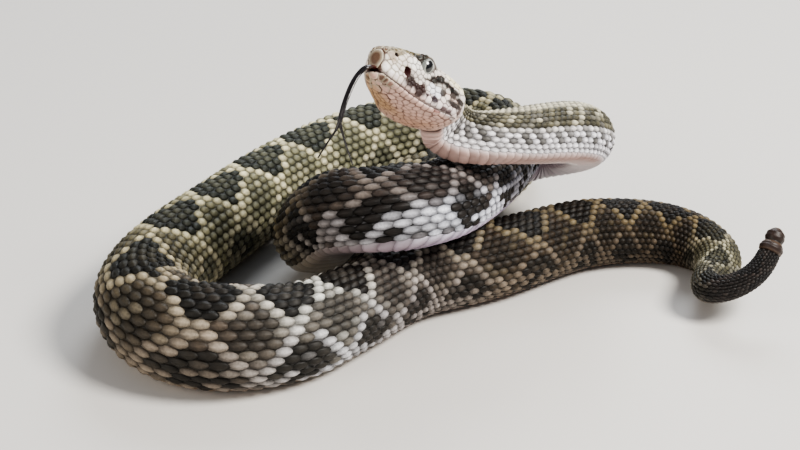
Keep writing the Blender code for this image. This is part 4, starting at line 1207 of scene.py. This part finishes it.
def build_skin(spine, lattice, rings, mouth):
    """The head's rings and the body's, as one closed surface from the snout to the rattle."""
    head_count, across = rings.shape[:2]
    head_world = head_frame(rings.reshape(-1, 3)).reshape(rings.shape)
    t = upper_loop(HEAD_LENGTH)
    angles = np.concatenate([t, -t[-2:0:-1]])[::2]
    end = spine.length - RATTLE_LENGTH
    s = np.concatenate([np.arange(1.0, 40.0, 1.5), np.arange(40.0, end, 2.6), [end]])
    ss, tt = np.meshgrid(s, angles, indexing="ij")
    r = np.interp(ss, spine.s, spine.r)
    body = body_points(spine, ss, tt, -coat_depth(r) * 1.0)
    columns = len(angles)
    tip = head_world[0].mean(axis=0)
    tail = body[-1].mean(axis=0)
    points = np.concatenate([head_world.reshape(-1, 3), body.reshape(-1, 3), [tip], [tail]])
    base = head_count * across
    faces = [grid_faces(head_count, across, True), grid_faces(len(s), columns, True) + base]
    joint = stitch(np.arange((head_count - 1) * across, base), base + np.arange(columns))
    faces.append(joint)
    j = np.arange(across)
    faces.append(np.stack([np.full(across, len(points) - 2), (j + 1) % across, j], -1))
    j = np.arange(columns)
    last = base + (len(s) - 1) * columns
    faces.append(np.stack([np.full(columns, len(points) - 1), last + j, last + (j + 1) % columns], -1))

    flat = rings.reshape(-1, 3)
    tint = head_marking(flat)
    # The skin shows only in the gaps between the plates: a darker copy of the head's colour, painted shade, blended
    # with the dark colour of the skin between plates.
    gap = linear(HEAD_TINTS["gap"])
    tint = mix(tint * 0.55, gap, np.full(len(tint), 0.40))
    # Painted shade: the inside of the mouth, the notch under the snout and the heat pits are painted dark maroon, and
    # the nostrils near black.
    hollow_shade = linear(HEAD_TINTS["hollow_shade"])
    inside = mouth.reshape(-1)
    a, y, z = flat[:, 0], np.abs(flat[:, 1]), flat[:, 2]
    notch = smooth((NOTCH_TOP + 0.3 - z) / 0.2) * smooth((NOTCH_HALF + 0.2 - y) / 0.2) * smooth((a - 1.3) / 0.3) * (a < 7) * (z > -6)
    inside = np.maximum(inside, notch)
    pit = smooth((PIT[3] + 0.35 - np.hypot(a - PIT[0], (z - PIT[2]) * 0.80)) / 0.2) * (y > 3)
    nostril = smooth((NOSTRIL[3] + 0.05 - np.hypot(a - NOSTRIL[0], z - NOSTRIL[2])) / 0.25) * (y > 2.6)
    tint = mix(tint, hollow_shade, np.maximum(inside, pit))
    tint = mix(tint, hollow_shade * 0.25, nostril)
    # Painted shade: a dark ring in the crease where the lids meet the eye.
    rim = np.exp(-((np.hypot(a - EYE_CENTRE[0], z - EYE_CENTRE[2]) - 2.05) / 0.35) ** 2) * (y > 5)
    tint = mix(tint, linear((58, 52, 50)), rim * 0.9)
    # Between the body's scales the skin is the body's marking at about a quarter: painted shade in the gaps.
    body_tint = body_marking(lattice, ss.ravel(), ((tt.ravel() + np.pi) % (2 * np.pi)) - np.pi) * 0.26
    tints = np.concatenate([tint, body_tint, tint[:1], body_tint[-1:]])

    # Unwrap: the head in the strip below, the body in the one above.
    u_head = np.repeat(np.linspace(0.02, 0.98, head_count), across)
    v_head = np.tile(0.02 + 0.44 * np.arange(across) / across, head_count)
    u_body = 0.02 + 0.96 * ss.ravel() / spine.length
    v_body = np.tile(0.52 + 0.46 * np.arange(columns) / columns, len(s))
    uvs = np.concatenate([np.stack([u_head, v_head], -1), np.stack([u_body, v_body], -1), [[0.01, 0.2]], [[0.99, 0.7]]])
    return make_mesh("skin", points, faces, tints, uvs)


def build_jaw(rings):
    count, across = rings.shape[:2]
    points = head_frame(rings.reshape(-1, 3)).reshape(-1, 3)
    ends = [points[:across].mean(axis=0), points[-across:].mean(axis=0)]
    j = np.arange(across)
    faces = [grid_faces(count, across, True),
             np.stack([np.full(across, len(points)), (j + 1) % across, j], -1),
             np.stack([np.full(across, len(points) + 1), len(points) - across + j,
                       len(points) - across + (j + 1) % across], -1)]
    flat = rings.reshape(-1, 3)
    # The jaw's skin shows only between its plates: a darker copy of its colour, painted shade, blended with the dark
    # colour of the skin between plates.
    tint = mix(head_marking(flat) * 0.6, linear(HEAD_TINTS["gap"]), np.full(len(flat), 0.35))
    # Painted shade: a dark line along the groove down the chin's middle.
    tint = mix(tint, linear((78, 48, 34)), np.exp(-(flat[:, 1] / 0.5) ** 2) * 0.8)
    top = np.tile(np.cos(np.arange(across) * 2 * math.pi / across), count)
    # Painted shade: the jaw's upper side, inside the mouth, is painted dark maroon.
    tint = mix(tint, linear(HEAD_TINTS["hollow_shade"]), smooth((top + 0.02) / 0.05) * (flat[:, 0] < 26))
    u = np.repeat(np.linspace(0.02, 0.98, count), across)
    v = np.tile(0.02 + 0.96 * np.arange(across) / across, count)
    uvs = np.concatenate([np.stack([u, v], -1), [[0.01, 0.5]], [[0.99, 0.5]]])
    return make_mesh("lower_jaw_skin", np.vstack([points, ends]), faces, np.concatenate([tint, tint[:1], tint[-1:]]), uvs)


# ------------------------------------------------------------------ eyes, tongue, rattle
def build_eye(side):
    """A ball with an iris and an upright slit on its front, set in the head's socket."""
    a, y, z = EYE_CENTRE
    rows, columns = 72, 96
    polar = np.linspace(0, math.pi, rows + 1)[1:-1]
    turn = np.arange(columns) * 2 * math.pi / columns
    pp, tt = np.meshgrid(polar, turn, indexing="ij")
    out = np.cos(pp)                                            # towards the side
    along, tall = np.sin(pp) * np.cos(tt), np.sin(pp) * np.sin(tt)
    radius = EYE_RADIUS - 0.06
    centre = np.array([a, side * y, z])
    local = np.stack([along * radius, side * out * radius, tall * radius], axis=-1).reshape(-1, 3)
    poles = np.array([[0, side * radius, 0], [0, -side * radius, 0]])
    local = np.vstack([local, poles])
    points = head_frame(local + centre)
    faces = [grid_faces(rows - 1, columns, True)]
    j = np.arange(columns)
    n = (rows - 1) * columns
    faces.append(np.stack([np.full(columns, n), (j + 1) % columns, j], -1))
    faces.append(np.stack([np.full(columns, n + 1), n - columns + j, n - columns + (j + 1) % columns], -1))
    # The slit and the iris are square to the way the eye looks.
    look = unit(np.array([EYE_LOOK[0], EYE_LOOK[1] * side, EYE_LOOK[2]]))
    upright = unit(np.array([0.0, 0.0, 1.0]) - look * look[2])
    x, h = local @ np.cross(upright, look), local @ upright
    front = local @ look > 0
    slit = np.hypot(x / 1.12, h / 1.70)
    across = np.hypot(x, h)
    angle = np.arctan2(h, x)
    veins = hashed(np.round(angle * 14), np.round(across * 5))
    iris = linear((138, 140, 136)) * (0.62 + 0.62 * veins)[:, None]
    iris = mix(iris, linear((92, 92, 90)), smooth((across - 1.95) / 0.35) * 0.8)
    iris = mix(iris, linear((214, 214, 206)), np.exp(-((slit - 1.14) / 0.10) ** 2) * 0.45)
    tint = mix(iris, linear((8, 7, 8)), 1 - smooth((slit - 0.95) / 0.10))
    # Painted shade: the ball's edge, under the lids, is painted dark.
    tint = mix(tint, linear((46, 42, 40)), smooth((across - 2.15) / 0.25))
    tint = np.where(front[:, None], tint, linear((40, 36, 36)))
    u = 0.5 + 0.075 * local[:, 0]
    v = np.where(front, 0.27, 0.73) + 0.075 * local[:, 2]
    return make_mesh("eye_left_ball" if side > 0 else "eye_right_ball", points, faces, np.clip(tint, 0, 1),
                     np.stack([u, v], -1))


def ribbon_rings(points, sides, thickness):
    line = spine_through(points, step=0.22, smoothing=3)
    along = unit(np.gradient(line[:, :3], axis=0))
    _, left, _ = head_axes()
    rings = []
    for i in range(len(line)):
        flat = unit(left - along[i] * (left @ along[i]))
        thick = np.cross(along[i], flat)
        w = line[i, 3]
        angle = 2 * math.pi * np.arange(sides) / sides
        groove = 1 - 0.28 * np.exp(-((angle - 1.5 * math.pi) / 0.35) ** 2) - 0.18 * np.exp(-((angle - 0.5 * math.pi) / 0.35) ** 2)
        rings.append(line[i, :3] + flat * (w * np.cos(angle))[:, None]
                     + thick * (max(w * thickness, 0.20) * np.sin(angle) * groove)[:, None])
    return np.array(rings)


def build_tongue():
    stem = ribbon_rings([(*p[:3], p[3] - 0.04) for p in TONGUE_STEM], 20, TONGUE_THICKNESS)
    parts = [stem]
    for tine in TONGUE_TINES:
        back = np.array(TONGUE_STEM[-2]) * 0.45 + np.array(TONGUE_STEM[-1]) * 0.55
        points = [tuple(back[:3]) + (0.50,)] + [tuple(np.array(p[:3])) + (p[3] * 0.76,) for p in tine]
        parts.append(ribbon_rings(points, 16, 0.8))
    points, faces, tints, uvs = [], [], [], []
    base = 0
    dark, pink = linear((30, 20, 20)), linear((126, 62, 56))
    for index, part in enumerate(parts):
        rows, columns = part.shape[:2]
        flat = part.reshape(-1, 3)
        ends = np.array([part[0].mean(axis=0), part[-1].mean(axis=0)])
        j = np.arange(columns)
        n = rows * columns
        points += [flat, ends]
        faces += [grid_faces(rows, columns, True) + base,
                  np.stack([np.full(columns, n), (j + 1) % columns, j], -1) + base,
                  np.stack([np.full(columns, n + 1), n - columns + j, n - columns + (j + 1) % columns], -1) + base]
        share = np.repeat(np.linspace(0, 1, rows), columns)
        tint = mix(np.broadcast_to(pink, (n, 3)), dark, smooth(share / 0.35) if index == 0 else np.ones(n))
        tints += [tint, tint[:1], tint[-1:]]
        v = np.tile(0.05 + 0.26 * np.arange(columns) / columns, rows) + 0.32 * index
        u = np.repeat(np.linspace(0.04, 0.96, rows), columns)
        uvs += [np.stack([u, v], -1), [[0.02, 0.1 + 0.32 * index]], [[0.98, 0.1 + 0.32 * index]]]
        base += n + 2
    return make_mesh("tongue_skin", np.vstack(points), faces, np.vstack(tints), np.vstack(uvs))


def build_rattle(spine):
    shares = ((0.00, 0.86), (0.06, 1.06), (0.20, 1.12), (0.34, 1.04), (0.44, 0.82), (0.52, 0.90), (0.66, 0.98),
              (0.82, 0.88), (0.94, 0.58), (1.00, 0.30))
    start = spine.length - RATTLE_LENGTH + 0.15
    share = np.linspace(0, 1, 90)
    a, table = soft_table([(10 * x, v) for x, v in shares], 0.35)
    scale = np.interp(share * 10, a, table[:, 0])
    columns = 64
    theta = np.arange(columns) * 2 * math.pi / columns
    ss, tt = np.meshgrid(start + share * (spine.length - start), theta, indexing="ij")
    r = np.interp(ss, spine.s, spine.r)
    # Each lobe carries a shallow groove along its sides and a rim at its widest.
    groove = 0.06 * np.exp(-((np.abs((tt % (2 * math.pi)) - math.pi) - math.pi / 2) / 0.22) ** 2)
    ring = 0.03 * np.cos(share * 2 * math.pi * 5)[:, None]
    height = r * (scale[:, None] * (0.985 - groove) + ring * 0.6 - 1) - 0.04
    points = body_points(spine, ss, tt, height)
    flat = points.reshape(-1, 3)
    ends = np.array([points[0].mean(axis=0), points[-1].mean(axis=0)])
    n = len(flat)
    j = np.arange(columns)
    faces = [grid_faces(90, columns, True), np.stack([np.full(columns, n), (j + 1) % columns, j], -1),
             np.stack([np.full(columns, n + 1), n - columns + j, n - columns + (j + 1) % columns], -1)]
    brown, pale, deep = linear((58, 43, 36)), linear((112, 94, 78)), linear((26, 19, 16))
    band = np.exp(-((share - 0.40) / 0.05) ** 2) + np.exp(-((share - 0.97) / 0.05) ** 2) + 0.7 * np.exp(-((share - 0.05) / 0.04) ** 2)
    tint = mix(np.broadcast_to(brown, (90, 3)), pale, np.clip(band, 0, 1) * 0.55)
    # Painted shade: the waist between the lobes is painted near black.
    tint = mix(tint, deep, np.exp(-((share - 0.47) / 0.03) ** 2) * 0.9)
    tints = np.repeat(tint, columns, axis=0)
    tints = tints * (0.82 + 0.36 * hashed(np.round(np.tile(theta, 90) * 3), np.repeat(np.round(share * 9), columns)))[:, None]
    u = np.repeat(np.linspace(0.03, 0.97, 90), columns)
    v = np.tile(0.03 + 0.94 * np.arange(columns) / columns, 90)
    uvs = np.concatenate([np.stack([u, v], -1), [[0.01, 0.5]], [[0.99, 0.5]]])
    return make_mesh("rattle_segments", np.vstack([flat, ends]), faces, np.clip(np.vstack([tints, tints[:1], tints[-1:]]), 0, 1), uvs)


# ------------------------------------------------------------------ materials
def surface(name, rough, grain, bump, coat=0.0, coat_rough=0.1, fleck=0.12, soft=0.0, specular=0.5):
    """A finish whose colour is the mesh's Tint, its markings with painted shade and highlights, broken up by fine
    grain.
    """
    mat = bpy.data.materials.new(name)
    mat.use_nodes = True
    tree = mat.node_tree
    nodes, links = tree.nodes, tree.links
    shader = nodes["Principled BSDF"]
    tint = nodes.new("ShaderNodeAttribute")
    tint.attribute_name = "Tint"
    place = nodes.new("ShaderNodeTexCoord")
    fine = nodes.new("ShaderNodeTexNoise")
    fine.inputs["Scale"].default_value = grain
    fine.inputs["Detail"].default_value = 5.0
    fine.inputs["Roughness"].default_value = 0.6
    links.new(place.outputs["Object"], fine.inputs["Vector"])
    level = nodes.new("ShaderNodeMapRange")
    level.inputs["From Min"].default_value = 0.3
    level.inputs["From Max"].default_value = 0.7
    level.inputs["To Min"].default_value = 1.0 - fleck
    level.inputs["To Max"].default_value = 1.0 + fleck
    links.new(fine.outputs["Fac"], level.inputs["Value"])
    scaled = nodes.new("ShaderNodeVectorMath")
    scaled.operation = "SCALE"
    links.new(tint.outputs["Color"], scaled.inputs[0])
    links.new(level.outputs["Result"], scaled.inputs["Scale"])
    links.new(scaled.outputs["Vector"], shader.inputs["Base Color"])
    rougher = nodes.new("ShaderNodeMapRange")
    rougher.inputs["To Min"].default_value = max(rough - 0.08, 0.02)
    rougher.inputs["To Max"].default_value = rough + 0.08
    links.new(fine.outputs["Fac"], rougher.inputs["Value"])
    links.new(rougher.outputs["Result"], shader.inputs["Roughness"])
    if bump:
        grains = nodes.new("ShaderNodeTexNoise")
        grains.inputs["Scale"].default_value = grain * 2.2
        grains.inputs["Detail"].default_value = 3.0
        links.new(place.outputs["Object"], grains.inputs["Vector"])
        lift = nodes.new("ShaderNodeBump")
        lift.inputs["Strength"].default_value = bump
        lift.inputs["Distance"].default_value = 0.0002
        links.new(grains.outputs["Fac"], lift.inputs["Height"])
        links.new(lift.outputs["Normal"], shader.inputs["Normal"])
    shader.inputs["Coat Weight"].default_value = coat
    shader.inputs["Coat Roughness"].default_value = coat_rough
    shader.inputs["Specular IOR Level"].default_value = specular
    if soft:
        shader.inputs["Subsurface Weight"].default_value = soft
        shader.inputs["Subsurface Radius"].default_value = (0.0012, 0.0007, 0.0005)
        shader.inputs["Subsurface Scale"].default_value = 1.0
    return mat


def plain(name, colour, rough):
    mat = bpy.data.materials.new(name)
    mat.use_nodes = True
    shader = mat.node_tree.nodes["Principled BSDF"]
    shader.inputs["Base Color"].default_value = (*colour, 1.0)
    shader.inputs["Roughness"].default_value = rough
    return mat


# ------------------------------------------------------------------ stage
def build_stage():
    floor = bpy.data.meshes.new("floor")
    size = 6.0
    floor.from_pydata([(-size, -size, 0), (size, -size, 0), (size, size, 0), (-size, size, 0)], [], [(0, 1, 2, 3)])
    obj = bpy.data.objects.new("floor", floor)
    bpy.context.scene.collection.objects.link(obj)
    floor.materials.append(plain("floor_paper", (0.62, 0.60, 0.57), 0.9))
    world = bpy.data.worlds.new("studio")
    world.use_nodes = True
    back = world.node_tree.nodes["Background"]
    back.inputs["Color"].default_value = (0.86, 0.90, 1.0, 1.0)
    back.inputs["Strength"].default_value = 0.30
    bpy.context.scene.world = world
    bpy.context.scene.view_settings.look = "AgX - Medium High Contrast"

    def lamp(name, place, aim, size, power, colour):
        data = bpy.data.lights.new(name, "AREA")
        data.shape = "DISK"
        data.size = size
        data.energy = power
        data.color = colour
        light = bpy.data.objects.new(name, data)
        light.location = place
        light.rotation_euler = (Vector(aim) - Vector(place)).to_track_quat("-Z", "Y").to_euler()
        bpy.context.scene.collection.objects.link(light)

    lamp("key", (0.55, -0.28, 0.72), (0.0, 0.0, 0.03), 0.34, 15.0, (1.0, 0.97, 0.92))
    lamp("fill", (-0.75, -0.55, 0.45), (0.0, 0.0, 0.03), 0.8, 5.0, (1.0, 0.93, 0.84))
    lamp("back", (0.15, 0.85, 0.75), (0.0, 0.0, 0.04), 0.6, 9.0, (0.90, 0.95, 1.0))


def build_camera():
    data = bpy.data.cameras.new("camera")
    data.lens = 85.0
    data.sensor_width = 36.0
    data.clip_start = 0.01
    cam = bpy.data.objects.new("camera", data)
    cam.location = (-0.0123744, -0.5203776, 0.2890)
    cam.rotation_euler = (math.radians(62.0), 0.0, 0.0)
    bpy.context.scene.collection.objects.link(cam)
    bpy.context.scene.camera = cam


# ------------------------------------------------------------------ the whole model
BODY_NODES = ("neck_front", "neck_bend", "neck_rear", *(f"trunk_{i:02d}" for i in range(1, 14)), "tail_base", "tail_tip")
COATS = (
    ("neck_scales_1", 0.6, 56.0, 25, "pale_skin"), ("neck_scales_2", 56.0, 118.0, 25, "pale_skin"), ("coil_scales_1", 118.0, 252.0, 25, "skin"),
    ("coil_scales_2", 252.0, 396.0, 25, "skin"), ("coil_scales_3", 396.0, 530.0, 25, "skin"),
    ("coil_scales_4", 530.0, 640.0, 25, "skin"), ("rear_scales", 640.0, 733.0, 25, "skin"),
    ("tail_scales", 733.0, None, 19, "dark_skin"),
)


def main():
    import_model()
    spine = Spine()
    lattice = Lattice(spine)
    rng = np.random.default_rng(7)

    finish_skin = surface("scaly_skin", 0.60, 900.0, 0.35, coat=0.0, coat_rough=0.3, specular=0.25)
    finish_scale = surface("scales", 0.56, 1300.0, 0.45, coat=0.02, coat_rough=0.3, fleck=0.26, specular=0.26)
    finish_head = surface("head_plates", 0.46, 1500.0, 0.22, coat=0.04, coat_rough=0.25, fleck=0.12, specular=0.28)
    finish_belly = surface("belly_plates", 0.34, 700.0, 0.12, coat=0.18, coat_rough=0.2, fleck=0.06)
    finish_tail = surface("tail_scales", 0.52, 1300.0, 0.35, coat=0.02, coat_rough=0.3, fleck=0.2, specular=0.28)
    finish_eye = surface("eyes", 0.22, 5200.0, 0.0, coat=1.0, coat_rough=0.02, fleck=0.30)
    finish_tongue = surface("tongue", 0.30, 2200.0, 0.25, coat=0.35, coat_rough=0.12)
    finish_rattle = surface("rattle", 0.50, 800.0, 0.25, coat=0.04, coat_rough=0.3, fleck=0.2, specular=0.35)

    def place(obj, finish, slot, *nodes):
        obj.data.materials.append(finish)
        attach(obj, "root")
        if nodes:
            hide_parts(*nodes)
        return obj

    rings, mouth = head_rings()
    skin = build_skin(spine, lattice, rings, mouth)
    place(skin, finish_skin, "skin", "head", *BODY_NODES)
    jaw = jaw_rings()
    place(build_jaw(jaw), finish_skin, "head_skin", "lower_jaw")

    # Surfaces for laying out the head's plates, in head coordinates.
    count, across = rings.shape[:2]
    quads = grid_faces(count, across, True)
    ss, tt = np.meshgrid(np.linspace(1.0, 8.0, 6), np.arange(96) * 2 * math.pi / 96, indexing="ij")
    flat = rings.reshape(-1, 3)
    outward = flat[quads].mean(axis=1)
    corner = flat[quads]
    normal = unit(np.cross(corner[:, 2] - corner[:, 0], corner[:, 3] - corner[:, 1]))
    if np.sum(normal[:, 1] * outward[:, 1]) < 0:
        normal, quads = -normal, quads[:, ::-1]
    skin_tree = BVHTree.FromPolygons([tuple(p) for p in flat], [tuple(f) for f in quads.tolist()])
    jaw_flat = jaw.reshape(-1, 3)
    jaw_quads = grid_faces(*jaw.shape[:2], True)
    jaw_corner = jaw_flat[jaw_quads]
    jaw_mid = jaw_corner.mean(axis=1)
    jaw_normal = unit(np.cross(jaw_corner[:, 2] - jaw_corner[:, 0], jaw_corner[:, 3] - jaw_corner[:, 1]))
    if np.sum(jaw_normal[:, 1] * jaw_mid[:, 1]) < 0:
        jaw_normal, jaw_quads = -jaw_normal, jaw_quads[:, ::-1]
    jaw_tree = BVHTree.FromPolygons([tuple(p) for p in jaw_flat], [tuple(f) for f in jaw_quads.tolist()])

    # Where small scales may take root: the outer skin, clear of mouth, eyes, pits and nostrils.
    mid = outward
    a, y, z = mid[:, 0], np.abs(mid[:, 1]), mid[:, 2]
    lip = lip_height(a)
    free = (a > 1.0) & (a < 35.9) & ((z > lip + 2.0) | (a > 27.3))
    free &= np.hypot(a - EYE_CENTRE[0], z - EYE_CENTRE[2]) > 3.0
    free &= (np.hypot(a - PIT[0], z - PIT[2]) > 1.5) | (y < 3)
    free &= (np.hypot(a - NOSTRIL[0], z - NOSTRIL[2]) > 1.1) | (y < 2.5)
    free &= mouth.reshape(-1)[quads].max(axis=1) < 0.05
    jaw_free = (jaw_mid[:, 0] > 1.9) & (jaw_mid[:, 0] < 31.0)
    jaw_free &= (jaw_mid[:, 2] < np.interp(jaw_mid[:, 0], JAW_A, JAW_T[:, 1]) - 1.3)
    pick = rng.permutation(np.flatnonzero(free))[:14000]
    pick_jaw = rng.permutation(np.flatnonzero(jaw_free))[:6000]
    near_jaw = (mid[pick][:, 0] > 26.0) & (mid[pick][:, 0] < 30.6) & (mid[pick][:, 2] < -2.0)
    hidden = np.zeros(len(pick), bool)
    hidden[near_jaw] = buried(jaw_tree, mid[pick][near_jaw], 0.05)
    pick = pick[~hidden]
    pick_jaw = pick_jaw[~buried(skin_tree, jaw_mid[pick_jaw], 0.10) | (jaw_mid[pick_jaw][:, 0] < 26.5)]
    spots = np.concatenate([mid[pick], jaw_mid[pick_jaw]])
    normals = np.concatenate([normal[pick], jaw_normal[pick_jaw]])
    on_jaw = np.concatenate([np.zeros(len(pick), bool), np.ones(len(pick_jaw), bool)])
    place(head_plates(skin_tree, jaw_tree, spots, normals, on_jaw, rng), finish_head, "head_skin")

    for name, start, end, rows, slot in COATS:
        end = spine.length - RATTLE_LENGTH - 0.2 if end is None else end
        coat = body_scales(spine, lattice, start, end, rows, name)
        place(coat, finish_tail if slot == "dark_skin" else finish_scale, slot)
    place(belly_scutes(spine, lattice, 0.1, spine.length - RATTLE_LENGTH - 1.0), finish_belly, "pale_skin")

    place(build_eye(1), finish_eye, "eyes", "eye_left")
    place(build_eye(-1), finish_eye, "eyes", "eye_right")
    place(build_tongue(), finish_tongue, "tongue", "tongue")
    place(build_rattle(spine), finish_rattle, "rattle", "rattle")

    build_stage()
    build_camera()


main()
